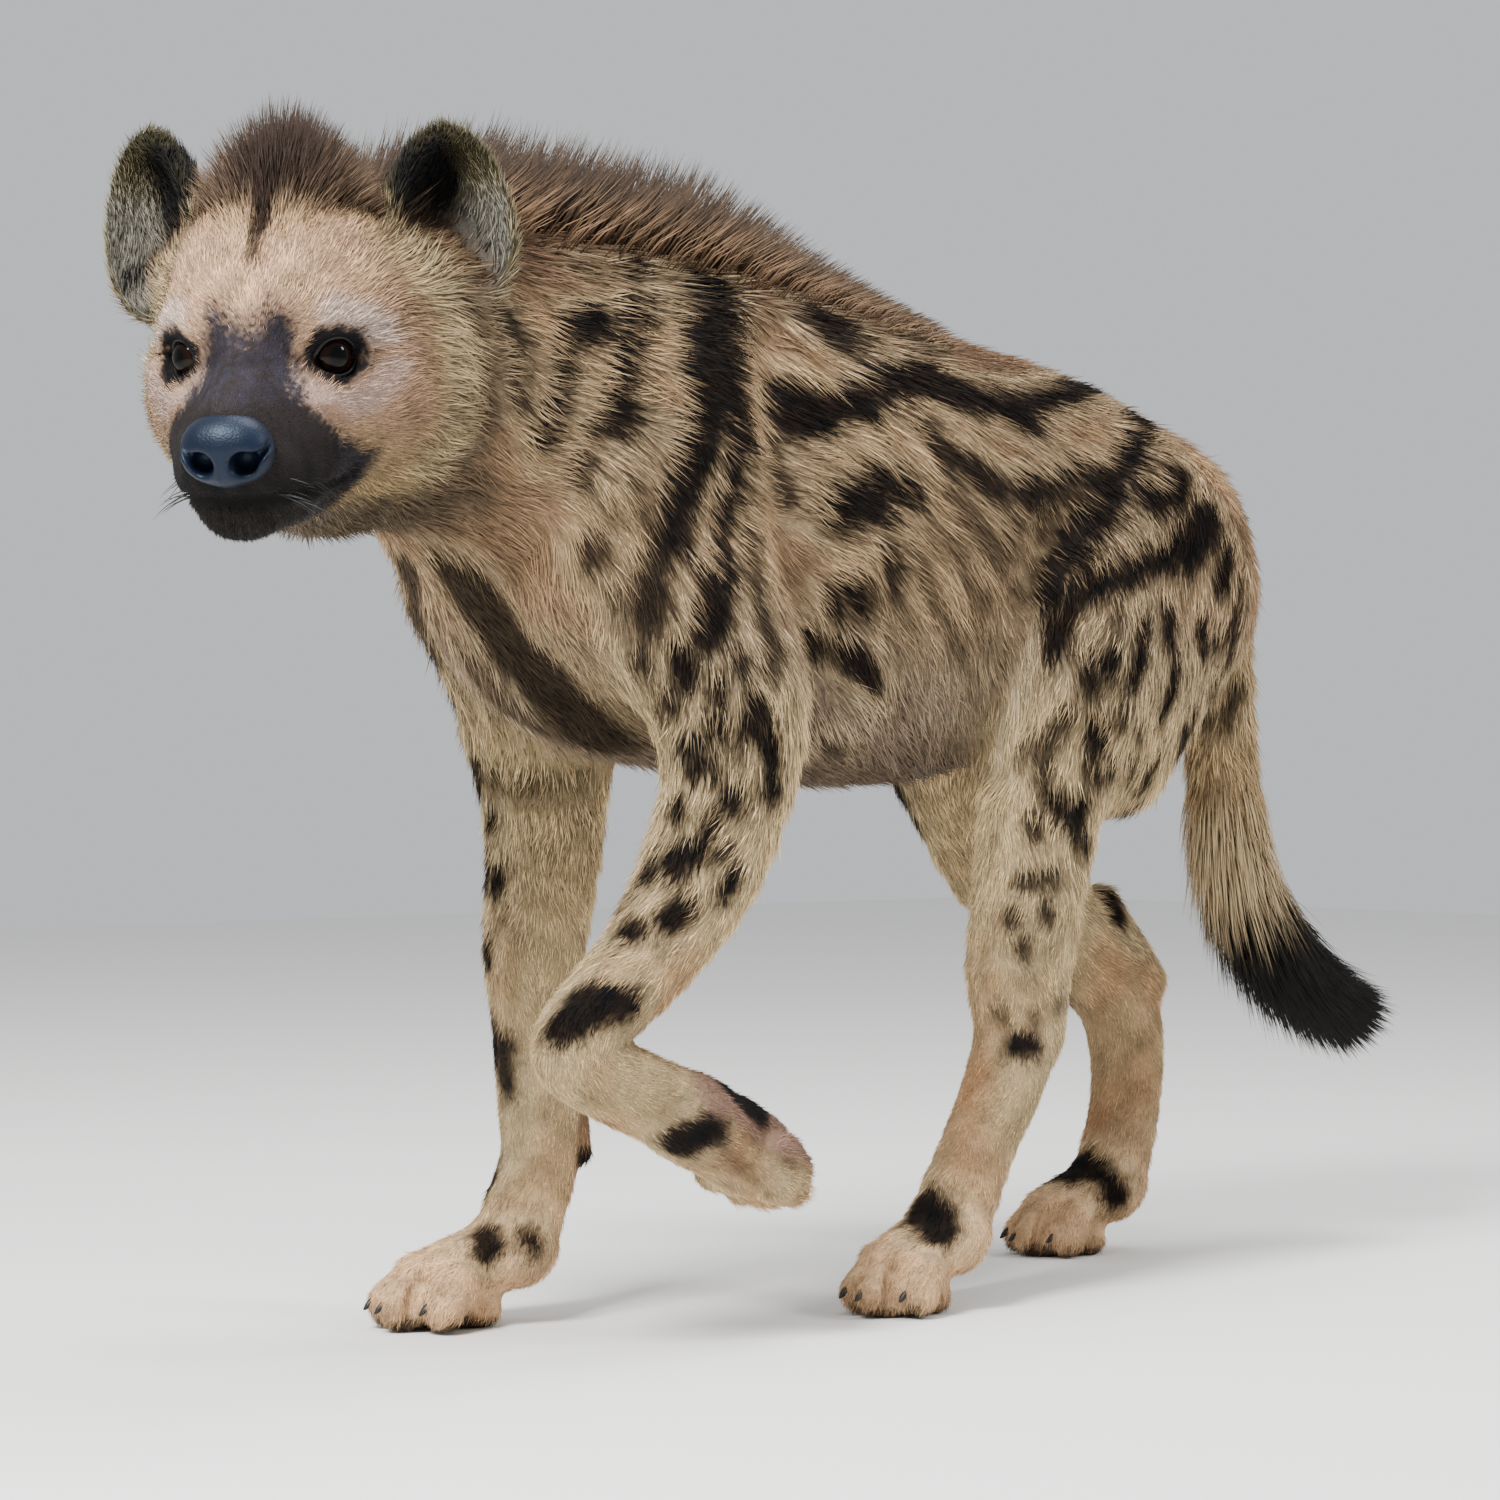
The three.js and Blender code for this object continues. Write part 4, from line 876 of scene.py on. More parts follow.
def marked(p):
    """Share of the markings at points on the hide: their dark core, the brown rim about it and
    the pale hair around them."""
    order = np.argsort(p[:, 1])
    q = p[order]
    rough = 2.2 * ripple(q, 14, 31) + 1.6 * ripple(q, 34, 32) + 1.4 * ripple(q, 2.4, 33)
    dark, rim, halo = np.zeros((3, len(q)))
    for a, b, radius, depth in MARKS:
        reach = radius + 24
        lo, hi = np.searchsorted(q[:, 1], [min(a[1], b[1]) - reach, max(a[1], b[1]) + reach])
        far = rod(q[lo:hi], [a, b, radius, radius, 1]) + rough[lo:hi]
        dark[lo:hi] = np.maximum(dark[lo:hi], depth * smooth(5, -5, far))
        halo[lo:hi] = np.maximum(halo[lo:hi], depth * smooth(22, 8, far))
        rim[lo:hi] = np.maximum(rim[lo:hi], depth * smooth(10, -1, far))
    out = np.empty((3, len(p)))
    out[:, order] = dark, rim, halo
    return out


def lay(tone, code, share):
    """A tone with a hex colour laid over it, as thick as the share from 0 to 1."""
    return mix(tone, srgb(code), share)


def between(first, second, share):
    """Colours a share of the way from one hex colour to another."""
    return mix(srgb(first), srgb(second), share)


def body_colour(p, share, halo):
    """Trunk, legs and tail without marks: sandy, greyer low down, dark along the back, cream on
    the legs, pale around the marks, painted shade in the furrows and a painted highlight on the
    edge of shoulder and thigh beside them, and red-brown behind the right wrist."""
    y, z = p[:, 1], p[:, 2]
    legs = sum(share[name] for name in LEGS)
    below_back = station(np.clip(y, -520, 384))[:, 1] - z
    tone = between("#c09c76", "#8f745a", 0.4 + 0.4 * ripple(p, 90, 45))
    tone = lay(tone, "#a59580", smooth(580, 450, z) * 0.75)
    tone = lay(tone, "#6f5340", smooth(95, 20, below_back) * smooth(330, 20, y) * 0.85)
    tone = lay(tone, "#9c7650", smooth(45, 10, below_back) * smooth(60, 330, y) * 0.5)
    tone = lay(tone, "#dcc193", np.clip(legs * smooth(540, 420, z) * 1.2, 0, 1))
    rusty = np.clip(0.2 + 0.3 * ripple(p, 75, 51), 0, 1)
    tone = lay(tone, "#c98f62", legs * smooth(360, 250, z) * rusty)
    tone = lay(tone, "#f0c598", smooth(120, 50, z) * 0.9)
    tone = lay(tone, "#c4a67c", share["tail"])
    tone = lay(tone, "#e2cba0", halo * 0.45)
    # Painted shade in the furrows behind the shoulder and before the thigh, and a painted highlight along
    # the shoulder's rear edge and the thigh's front edge beside them
    furrow = np.minimum(rods(p, SHOULDER_RODS), rods(p, THIGH_RODS))
    fold = np.minimum(rods(p + [0, 19, 0], SHOULDER_RODS), rods(p - [0, 19, 0], THIGH_RODS))
    tone = lay(tone, "#e6d3ac", smooth(2, -6, fold) * 0.6)
    tone = lay(tone, "#463526", smooth(4, -4, furrow) * 0.6)
    knob = smooth(4, 0, rod(p, WRIST_PAD)) * (share["fore_right"] > 0.5)
    tone = lay(tone, "#8a6048", knob * 0.7)
    return lay(tone, "#120e0c", knob * smooth(138, 126, z))


def cheek_colour(tone, p, q, head, fuzz):
    """Head without its markings: sand behind, warm cream at the eyes and brow, darker under the
    jaw, mostly as painted shade, and a pale ruff along the cheek with a painted shadow behind it."""
    x, y, z = np.abs(q[:, 0]), q[:, 1], q[:, 2]
    near = np.linalg.norm(q - [0, 40, 0], axis=-1)
    ruff = smooth(26, 8, np.abs(y - 74 + fuzz)) * smooth(60, 92, x) * smooth(175, 150, near)
    # Painted shadow on the neck behind the ruff, where the cheek overlaps it
    behind = smooth(14, 4, np.abs(y - 104 + fuzz)) * smooth(60, 95, x) * smooth(50, 20, z)
    behind = behind * smooth(190, 160, near)
    # Painted shade under the jaw, over a throat of darker olive hair
    under = smooth(-92, -108, z + fuzz) * smooth(-20, 30, y) * smooth(215, 170, near)
    tone = lay(tone, "#5d5040", np.clip(behind + under, 0, 1) * 0.8)
    face = between("#b89d73", "#bf9b7d", smooth(85, 30, y) * smooth(-70, -20, z + 0.2 * x))
    brow = smooth(20, 45, z) * smooth(60, 20, y) * (0.5 + 0.5 * ripple(p, 22, 47))
    face = lay(face, "#cfab86", brow)
    face = lay(face, "#a98b6a", smooth(35, 75, y) * smooth(20, 60, z) * 0.8)
    face = lay(face, "#9c8a6c", smooth(44, 76, y) * smooth(20, -40, z) * 0.35)
    # The painted shade under the jaw, on the face as well
    face = lay(face, "#6a5c49", under)
    tone = mix(tone, face, head * smooth(140, 105, y))
    return lay(tone, "#dcc99e", ruff * 0.5)


def face_markings(tone, p, q, head, fuzz, grain):
    """Pale patches above and below the eyes, a blue-grey mask with two peaks between them, the
    dark muzzle, chin and lips, a streak on the forehead and bare dark skin about the eyes."""
    x, y, z = np.abs(q[:, 0]), q[:, 1], q[:, 2]
    eye = mirrored(q) - np.array(EYE["at"])
    across, up, front = eye @ EYE_SIDE, eye @ EYE_UP, eye @ EYE_OUT > 0
    around = np.sqrt(((across - 1.5) / 24.5) ** 2 + ((up + 0.5) / 18.5) ** 2)
    above = smooth(0.7, 0.2, np.abs(around - 1.55)) * smooth(0, 8, up) * smooth(-24, -6, -across)
    tone = lay(tone, "#e0d2cc", head * above * front * 0.5)
    below = smooth(0.8, 0.2, np.abs(around - 1.7)) * smooth(0, -8, up)
    tone = lay(tone, "#e3c6bb", head * below * front * 0.6)

    peaks = 30 + 8 * np.exp(-((x - 23) / 9) ** 2) - 6 * np.exp(-(x / 9) ** 2)
    half = np.where(z > -10, 31 - 0.16 * np.maximum(z, 0), 31 - 0.7 * (z + 10))
    mask = smooth(5, -5, x - half + 0.7 * fuzz + 2.5 * grain) * smooth(40, 10, y)
    mask = mask * smooth(9, -9, z - peaks + fuzz + 8 * grain)
    bluer = np.clip(0.35 + 0.3 * ripple(p, 11, 48) + 0.25 * grain, 0, 1)
    greyed = smooth(15, 3, x) * smooth(8, 30, z + 8 * grain) * 0.6
    tone = mix(tone, lay(between("#0d0f19", "#252e46", bluer), "#7d6f6c", greyed), head * mask * 0.94)

    edge = np.interp(z, [-75, -46, -30, -24], [-22, -25, -34, -46])
    side = smooth(9, -8, y - edge + fuzz + 5 * grain) * smooth(-14, -28, z)
    browner = np.clip(smooth(-86, -36, z) + 0.3 * ripple(p, 10, 49), 0, 1)
    tone = mix(tone, between("#100e0e", "#312a28", browner), head * side * 0.95)
    tan = smooth(12, 3, np.abs(y - edge - 6)) * smooth(10, 4, np.abs(z + 33))
    tone = lay(tone, "#a9805f", head * tan * 0.6)
    chin = smooth(-78, -86, z + 0.5 * fuzz) * smooth(14, -8, y + 0.9 * (z + 84) + fuzz)
    mottled = np.clip(0.3 + 0.5 * ripple(p, 8, 52) + 0.3 * grain, 0, 1)
    tone = mix(tone, between("#0b0a09", "#332a23", mottled), head * chin * 0.96)
    lips = smooth(7, 3, np.abs(z - MOUTH_Z - np.maximum(y + 6, 0) * 0.5)) * smooth(9, 5, y)
    tone = lay(tone, "#100c0b", head * lips)

    streak = smooth(6, -3, x - 1 - 0.2 * np.maximum(y + 12, 0) + fuzz)
    streak = streak * smooth(-16, -4, y) * smooth(50, 62, z)
    tone = lay(tone, "#2e1f17", head * streak * 0.92)
    bare = smooth(1.16, 0.92, around + 0.02 * fuzz + 0.05 * grain)
    return lay(tone, "#191516", head * bare * front)


def ear_colour(tone, p, q, share, fuzz, grain):
    """Ears: olive-brown, darker to the tip, pale grey low in the cup, black in its hollow and along
    the crease that runs down from it."""
    ear = mirrored(q) - np.array(EAR["at"])
    across, up, out = ear @ EAR_SIDE, ear @ EAR_UP, ear @ EAR_OUT
    cup = ((across / 45) ** 2 + (up / 62) ** 2 < 1) & (out > -30)
    own = between("#766b50", "#3f3925", smooth(0, 50, up))
    pale = smooth(4, -12, across + 0.4 * fuzz) * smooth(34, 4, up + fuzz + 4 * grain)
    pale = pale * smooth(1.0, 0.8, (across / 45) ** 2)
    own = lay(own, "#69665d", cup * np.maximum(pale, smooth(-26, -36, up)) * 0.9)
    hollow = np.sqrt(((across - 14) / 30) ** 2 + ((up - 18) / 38) ** 2)
    own = lay(own, "#070605", cup * smooth(1.25, 0.75, hollow + 0.02 * fuzz + 0.08 * grain))
    crease = rod(np.stack([across, up, 0 * out], -1), [[20, -8, 0], [-27, -38, 0], 6, 4, 1])
    own = lay(own, "#0c0a08", cup * smooth(3, -2, crease))
    own = own * (1 + 0.2 * ripple(p, 8, 50))[:, None]
    return mix(tone, own, np.clip(share * 1.3, 0, 1))


def sole_colour(tone, p, share, fuzz):
    """Soles: nearly black, pink-brown on the raised paw, whose one bare pad is black."""
    for name, (start, end, _, _, up) in PAWS.items():
        start, end = np.array(start, float), np.array(end, float)
        height = (p - end) @ unit(up)
        near = np.linalg.norm(p - (end + start) / 2, axis=-1)
        pad = smooth(-5, -13, height + fuzz) * smooth(95, 80, near) * (share[name] > 0.3)
        tone = lay(tone, "#a07c6c" if name == "fore_left" else "#2a231f", pad * 0.9)
    start, up = PAWS["fore_left"][0], np.array(PAWS["fore_left"][4], float)
    bare = smooth(5, 0, rod(p, RAISED_PAD)) * smooth(4, 12, (start - p) @ up)
    return lay(tone, "#120e0c", bare * (share["fore_left"] > 0.5))


def hide_colour(p, share):
    """Colour of coat and hide at points: body and cheeks, made a little uneven, the marks over
    them, and then the belly, grey-brown and partly painted shade, the end of the tail, the face,
    the ears and the soles."""
    q = in_head(p)
    head = np.clip(share["head"] * 1.3, 0, 1)
    fuzz = 3.2 * ripple(p, 17, 44) + 2 * ripple(p, 7, 46)
    grain = ripple(p, 2.2, 53)
    dark, rim, halo = marked(p)
    tone = cheek_colour(body_colour(p, share, halo), p, q, head, fuzz)
    tone = tone * (1 + 0.18 * ripple(p, 26, 41) + 0.14 * ripple(p, 9, 42))[:, None]
    tone = lay(tone, "#5f452f", rim * 0.55 * (1 - head))
    mark_tone = between("#0b0807", "#251810", 0.5 + 0.5 * ripple(p, 30, 43))
    tone = mix(tone, mark_tone, dark * (1 - head * smooth(60, 30, q[:, 1])))
    # Belly darker grey-brown below: partly its own colour, partly painted shade under the trunk
    tone = lay(tone, "#5b4a3b", share["trunk"] * smooth(468, 408, p[:, 2]) * 0.65)
    dock = smooth(335, 295, p[:, 2] - 0.35 * (p[:, 1] - 460)) * smooth(400, 430, p[:, 1])
    tone = lay(tone, "#100d0c", dock * share["tail"])
    tone = face_markings(tone, p, q, head, fuzz, grain)
    tone = ear_colour(tone, p, q, share["ear"], fuzz, grain)
    return sole_colour(tone, p, share, fuzz)


hide_share = regions(hide_points)
hide_tone = hide_colour(hide_points, hide_share)


def paint(made, tone):
    """Stores a colour for each vertex, read by the coat's materials."""
    layer = made.data.attributes.new("coat_colour", "FLOAT_COLOR", "POINT")
    layer.data.foreach_set("color", np.column_stack([tone, np.ones(len(tone))]).astype(np.float32).ravel())


# Tanned hide with a short undercoat: dull and finely pored, without shine; its colour is painted dark
# there as the shade between the tufts
PORE = 1.11
hide_material, tree = new_material("short coat on tanned hide")
colour = add_node(tree, "ShaderNodeAttribute", {"attribute_name": "coat_colour"})
place = add_node(tree, "ShaderNodeTexCoord")
speckle = add_node(tree, "ShaderNodeTexNoise", Vector=place.outputs["Object"], Scale=1000 / PORE,
                   Detail=3.0)
darker = add_node(tree, "ShaderNodeMapRange", Value=speckle.outputs[0], _1=0.3, _2=0.7, _3=0.6, _4=1.15)
tinted = add_node(tree, "ShaderNodeVectorMath", {"operation": "SCALE"}, _0=colour.outputs["Color"],
                  Scale=darker.outputs[0])
bump = add_node(tree, "ShaderNodeBump", Height=speckle.outputs[0], Strength=0.6, Distance=0.0012)
shader = add_node(tree, "ShaderNodeBsdfPrincipled", Base_Color=tinted.outputs[0], Roughness=0.85,
                  Normal=bump.outputs[0])
shader.inputs["Specular IOR Level"].default_value = 0.14
finish_material(tree, shader)
skin = new_object("skin", hide_points, hide_faces, hide_material)
# Painted shade: the hide is painted at 0.42 of the coat's colour, the shade that falls between the tufts,
# and at 0.62 low on the paws where the hair is short
shade = 0.42 + 0.2 * smooth(120, 60, hide_points[:, 2])
paint(skin, hide_tone * shade[:, None])
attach(skin, "root")
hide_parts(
    "head", "lower_jaw", "neck", "torso", "hindquarters", "tail", "tail_brush", "ear_left", "ear_right",
    "foreleg_left", "foreleg_right", "forefoot_left", "forefoot_right", "thigh_left", "thigh_right",
    "shank_left", "shank_right", "hindfoot_left", "hindfoot_right",
)

# Coat: tufts of guard hair some 5 to 40 mm long, glued by their roots and combed to lie along
# the body, each a thin three-sided lock that tapers to a point. They are shortest on face and feet.


def lay_tufts(root, out, tip, flat, length, width, thick, rings):
    """Three-sided locks. At s from 0 to 1 the middle line is the root plus the length times out
    (s - s^2/2) + tip s^2/2, and the lock is (0.75 + s/2) (1 - s^1.6) of its width and 1 - s^1.6 of
    its thickness. The broad side faces away from the hide."""
    n = len(root)
    steps = np.arange(rings) / rings
    points = np.empty((n, rings * 3 + 1, 3))
    for i, s in enumerate(steps):
        centre = root + length[:, None] * (out * (s - s * s / 2) + tip * (s * s / 2))
        ahead = unit(mix(out, tip, np.full(n, s)))
        side = unit(np.cross(ahead, flat))
        face = np.cross(side, ahead)
        w = (width / 2 * (0.75 + 0.5 * s) * (1 - s ** 1.6))[:, None]
        t = (thick * (1 - s ** 1.6))[:, None]
        points[:, i * 3] = centre - side * w - face * t / 3
        points[:, i * 3 + 1] = centre + side * w - face * t / 3
        points[:, i * 3 + 2] = centre + face * t * 2 / 3
    points[:, -1] = root + length[:, None] * (out + tip) / 2
    faces = [[0, 2, 1]]
    for i in range(rings - 1):
        a = i * 3
        for j, k in ((0, 1), (1, 2), (2, 0)):
            faces += [[a + j, a + k, a + 3 + k], [a + j, a + 3 + k, a + 3 + j]]
    a = (rings - 1) * 3
    faces += [[a + j, a + k, rings * 3] for j, k in ((0, 1), (1, 2), (2, 0))]
    faces = np.array(faces)
    stride = points.shape[1]
    every = faces[None] + np.arange(n)[:, None, None] * stride
    s = np.repeat(np.append(steps, 1.0), [3] * rings + [1])
    across = np.append(np.tile([0.0, 1.0, 0.5], rings), 0.5)
    return points.reshape(-1, 3), every.reshape(-1, 3), s, across


corner_points = hide_points[hide_faces]
face_middle = corner_points.mean(1)
diagonals = np.cross(corner_points[:, 2] - corner_points[:, 0], corner_points[:, 3] - corner_points[:, 1])
face_area = np.linalg.norm(diagonals, axis=-1) / 2
vertex_normal = gradient(hide, hide_points)


def coat_length(p, share):
    """Length of the hair in mm: short on muzzle, ears and paws, long on neck, flank and rump."""
    q = in_head(p)
    height = p[:, 2]
    top = station(np.clip(p[:, 1], -520, 384))[:, 1]
    leg = 9 + 13 * smooth(180, 480, height)
    face = 5 + 5.5 * smooth(-50, 0, q[:, 1]) + 10 * smooth(20, 90, q[:, 1])
    face = face + 2.5 * smooth(-74, -86, q[:, 2])
    face = face - 4 * smooth(36, 22, np.linalg.norm(mirrored(q) - EYE["at"], axis=-1))
    face = face + 8 * smooth(30, 8, np.abs(q[:, 1] - 80)) * smooth(60, 90, np.abs(q[:, 0]))
    trunk_hair = 24 + 4 * ripple(p, 70, 3) + 12 * smooth(110, 40, top - height) * smooth(120, -40, p[:, 1])
    paws = 9.5 + 2 * smooth(40, 110, height)
    legs = sum(share[name] for name in LEGS)
    out = share["trunk"] * trunk_hair + share["head"] * face + share["ear"] * 13 + share["tail"] * 22
    return out + legs * np.where(height < 110, paws, leg)


def lie_of_coat(p, normal, share):
    """The way the hair lies: from the nose back over the head, back and down over the trunk and
    down the legs and tail."""
    q = in_head(p)
    flank = np.abs(normal[:, 0])
    loin = smooth(-150, 60, p[:, 1]) * smooth(260, 120, p[:, 1])
    steep = 0.3 + 0.9 * loin + 0.9 * smooth(600, 500, p[:, 2])
    way = np.stack([0 * flank, np.ones(len(p)), -0.12 - steep * flank], -1) * share["trunk"][:, None]
    face = unit(q - np.array([0, -115, -40])) @ HEAD.T
    way += face * share["head"][:, None]
    way += (EAR_UP @ HEAD.T) * share["ear"][:, None]
    for name, line in LEG_LINES.items():
        way += along_line(p, line)[1] * share[name][:, None]
    way += along_line(p, TAIL_LINE)[1] * share["tail"][:, None]
    sway = np.stack([ripple(p, 60, 11), ripple(p, 60, 12), ripple(p, 60, 13)], -1)
    way = way + 0.25 * sway
    return unit(way - normal * (way * normal).sum(-1, keepdims=True))


hair_length = coat_length(face_middle, regions(face_middle))
gap = 0.98 + 0.095 * hair_length
gap = np.where(in_head(face_middle)[:, 1] < 90, 0.82 * gap, gap)
weight = face_area / gap**2
weight[face_middle[:, 2] < 2] = 0
eye_place = mirrored(in_head(face_middle)) - np.array(EYE["at"])
in_lids = ((eye_place @ EYE_SIDE + 1.5) / 21) ** 2 + ((eye_place @ EYE_UP + 0.6) / 15.6) ** 2 < 1
weight[in_lids & (eye_place @ EYE_OUT > 0)] = 0
count = int(weight.sum())
spread = (np.arange(count) + random.uniform(0, 1, count)) * weight.sum() / count
pick = np.minimum(np.searchsorted(np.cumsum(weight), spread), len(weight) - 1)
along, over = random.uniform(0, 1, (2, count, 1))


def on_faces(values):
    """Values inside the picked faces, blended from those at their four corners."""
    v = values[hide_faces[pick]]
    near, far = v[:, 0] * (1 - along) + v[:, 1] * along, v[:, 3] * (1 - along) + v[:, 2] * along
    return near * (1 - over) + far * over


root = on_faces(hide_points)
normal = unit(on_faces(vertex_normal))
share = regions(root)
length = coat_length(root, share) * random.uniform(0.75, 1.2, count)
lie = lie_of_coat(root, normal, share)
jitter = np.cross(normal, lie) * random.normal(0, 0.16, (count, 1))
lie = unit(lie + jitter)
rise = np.radians(24 + 18 * share["ear"] + 5 * share["head"] + 9 * random.normal(size=count))[:, None]
droop = np.radians(-2 + 8 * random.normal(size=count))[:, None]
out = lie * np.cos(rise) + normal * np.sin(rise)
tip = lie * np.cos(droop) + normal * np.sin(droop)

# Dry guard hair: matt, with streaks along each tuft that are a seventh of its width, so that the
# lie of the coat shows
coat_material, tree = new_material("dry guard hair")
colour = add_node(tree, "ShaderNodeAttribute", {"attribute_name": "coat_colour"})
strand = add_node(tree, "ShaderNodeUVMap", {"uv_map": "strand"})
stretched = add_node(tree, "ShaderNodeMapping", Vector=strand.outputs[0], Scale=(7.0, 0.8, 1.0))
streaks = add_node(tree, "ShaderNodeTexNoise", {"noise_dimensions": "2D"}, Vector=stretched.outputs[0],
                   Scale=1.0, Detail=1.0)
lighter = add_node(tree, "ShaderNodeMapRange", Value=streaks.outputs[0], _1=0.3, _2=0.7, _3=0.62, _4=1.3)
streaked = add_node(tree, "ShaderNodeVectorMath", {"operation": "SCALE"}, _0=colour.outputs["Color"],
                    Scale=lighter.outputs[0])
bump = add_node(tree, "ShaderNodeBump", Height=streaks.outputs[0], Strength=0.5, Distance=0.0006)
shader = add_node(tree, "ShaderNodeBsdfPrincipled", Base_Color=streaked.outputs[0], Roughness=0.62,
                  Normal=bump.outputs[0])
shader.inputs["Specular IOR Level"].default_value = 0.14
finish_material(tree, shader)


def unwrap(p, part):
    """A map of one part's own surface: the angle about its middle line and the way along it,
    brought into the unit square."""
    if part in LEG_LINES or part == "tail":
        line = LEG_LINES.get(part, TAIL_LINE)
        i, way, _ = along_line(p, line)
        offset = p - line[i, :3]
        rear = unit(np.cross(way, [1.0, 0, 0]))
        angle = np.arctan2(offset[:, 0], (offset * rear).sum(-1))
        on = i + (offset * way).sum(-1) / 14
    elif part == "trunk":
        row = station(np.clip(p[:, 1], -520, 384))
        angle = np.arctan2(p[:, 0] - row[:, 0], row[:, 3] - p[:, 2])
        on = p[:, 1]
    else:
        q = in_head(p) - np.array([0, 40, 0])
        angle = np.arctan2(q[:, 0], -q[:, 2])
        on = np.arctan2(q[:, 1], np.hypot(q[:, 0], q[:, 2]))
    square = np.column_stack([angle, on])
    low, high = square.min(0), square.max(0)
    return 0.01 + 0.98 * (square - low) / (high - low + 1e-6)


def map_tufts(made, faces, where, s, across):
    """Two maps: OFBake, where each tuft is a patch 0.003 across at its root's place, and strand,
    with the way across and along each tuft."""
    stride = len(s)
    patch = np.column_stack([across, s]) * 0.003 - 0.0015
    bake = (where[:, None] + patch[None]).reshape(-1, 2)
    drawn = random.uniform(0, 50, (len(where), 1, 2))
    own = (np.column_stack([across, s])[None] + drawn).reshape(-1, 2)
    corners = faces.ravel()
    for name, places in (("OFBake", bake), ("strand", own)):
        layer = made.data.uv_layers.new(name=name)
        layer.data.foreach_set("uv", places[corners].astype(np.float32).ravel())


tone = hide_colour(root, share) * random.uniform(0.6, 1.42, (count, 1))
TUFTS_A_PIECE = 48000
COAT_PARTS = ["trunk", "head", "ear", *LEGS, "tail"]
part_of = np.stack([share[k] for k in COAT_PARTS], -1).argmax(1)
for number, part in enumerate(COAT_PARTS):
    mine = np.nonzero(part_of == number)[0]
    mine = mine[np.argsort(root[mine, 1])]
    for k, few in enumerate(np.array_split(mine, int(np.ceil(len(mine) / TUFTS_A_PIECE)))):
        width, thick = 0.75 + 0.056 * length[few], 0.35 + 0.022 * length[few]
        points, faces, s, across = lay_tufts(root[few] - normal[few], out[few], tip[few], normal[few],
                                             length[few], width, thick, rings=1)
        points[:, 2] = np.maximum(points[:, 2], 0.2)
        tufts = new_object(f"coat_{part}_{k + 1}", points, faces, coat_material)
        map_tufts(tufts, faces, unwrap(root[few], part), s, across)
        # Painted shade at the root of each tuft, where the tufts shade each other, and paler hair toward
        # the tip: 0.36 of the colour at the root, 1.4 at the tip
        root_shade_and_pale_tip = np.tile(0.36 + 1.04 * s, len(few))
        paint(tufts, np.repeat(tone[few], len(s), 0) * root_shade_and_pale_tip[:, None])
        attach(tufts, "root")

# Mane, crest and brush: long stiff hair of the neck, crown and tail in bent locks, brown to
# black, glued in by the root like the coat.


def long_locks(name, part, root, out, tip, flat, length, width, tone, tip_tone):
    """One piece of bent locks, from the tone at the root to the tone at the tip."""
    points, faces, s, across = lay_tufts(root, out, tip, flat, length, width, 0.22 * width, rings=2)
    locks = new_object(name, points, faces, coat_material)
    map_tufts(locks, faces, unwrap(root, part), s, across)
    shade = random.uniform(0.75, 1.25, (len(root), 1, 1))
    every = (tone[:, None] * (1 - s[:, None]) + tip_tone[:, None] * s[:, None]) * shade
    paint(locks, every.reshape(-1, 3))
    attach(locks, "root")


count = 9000
y = random.uniform(-500, 75, count)
row = station(y)
aside = np.clip(random.normal(0, 29, count), -72, 72) * (0.55 + 0.45 * smooth(-470, -390, y))
reach = np.clip(np.minimum((100 - y) / 260, (y + 560) / 70), 0.12, 1)
level = row[:, 1] - 12 - 0.5 * aside**2 / (row[:, 3] * 0.9)
root = np.column_stack([row[:, 0] + aside, y, level])
splay = aside / row[:, 3] * 1.5
back = 0.35 + 0.9 * (1 - reach) + 0.12 * random.normal(size=count)
out = unit(np.column_stack([splay, 0.6 * back, np.ones(count)]))
tip = unit(np.column_stack([splay * 1.6, 1.6 * back, 0.9 - 0.8 * (1 - reach) - 0.6 * np.abs(splay)]))
length = (26 + 56 * reach) * (1 - np.abs(aside) / 150) * random.uniform(0.75, 1.12, count)
across = unit(np.column_stack([np.ones(count), 0 * y, 0 * y]) + 0.3 * random.normal(size=(count, 3)))
fresh = 0.5 + 0.5 * ripple(root, 40, 51)
tone = between("#17110d", "#3a2d23", fresh)
tip_tone = between("#302620", "#6b5845", np.clip(1 - reach + 0.5 * fresh, 0, 1))
low_edge = smooth(32, 66, np.abs(aside) + 8 * random.normal(size=count))
tone = lay(tone, "#584534", low_edge)
tip_tone = lay(tip_tone, "#8a6d52", low_edge)
long_locks("mane", "trunk", root, out, tip, across, length, 1.1 + 0.011 * length, tone, tip_tone)

count = 12000
x = random.uniform(-70, 70, count)
y = random.uniform(8, 132, count)
climb = np.arange(150, 0, -1.0)
tested = np.stack(np.broadcast_arrays(x[:, None], y[:, None], climb[None]), -1)
inside = head_form(tested) < -4
keep = inside.any(1) & (np.abs(x) < 22 + 0.4 * (y - 14) + 6 * random.normal(size=count))
x, y, z = x[keep], y[keep], climb[inside.argmax(1)][keep]
count = len(x)
root = from_head(np.column_stack([x, y, z]))
fresh = random.normal(size=count)
back = 0.1 + 0.45 * smooth(40, 120, y)
out = unit(np.column_stack([x / 90 + 0.06 * fresh, back + 0.08 * fresh, np.ones(count)])) @ HEAD.T
sway_aside = 0.15 * random.normal(size=count)
sway_back = 0.15 * random.normal(size=count)
tip = unit(np.column_stack([x / 52 + sway_aside, 1.5 * back + sway_back, 1 - 0.012 * np.abs(x)])) @ HEAD.T
length = (9 + 52 * smooth(4, 74, y)) * random.uniform(0.65, 1.12, count) * (1 - np.abs(x) / 95)
across = unit(random.normal(size=(count, 3)) + [1.5, 0, 0]) @ HEAD.T
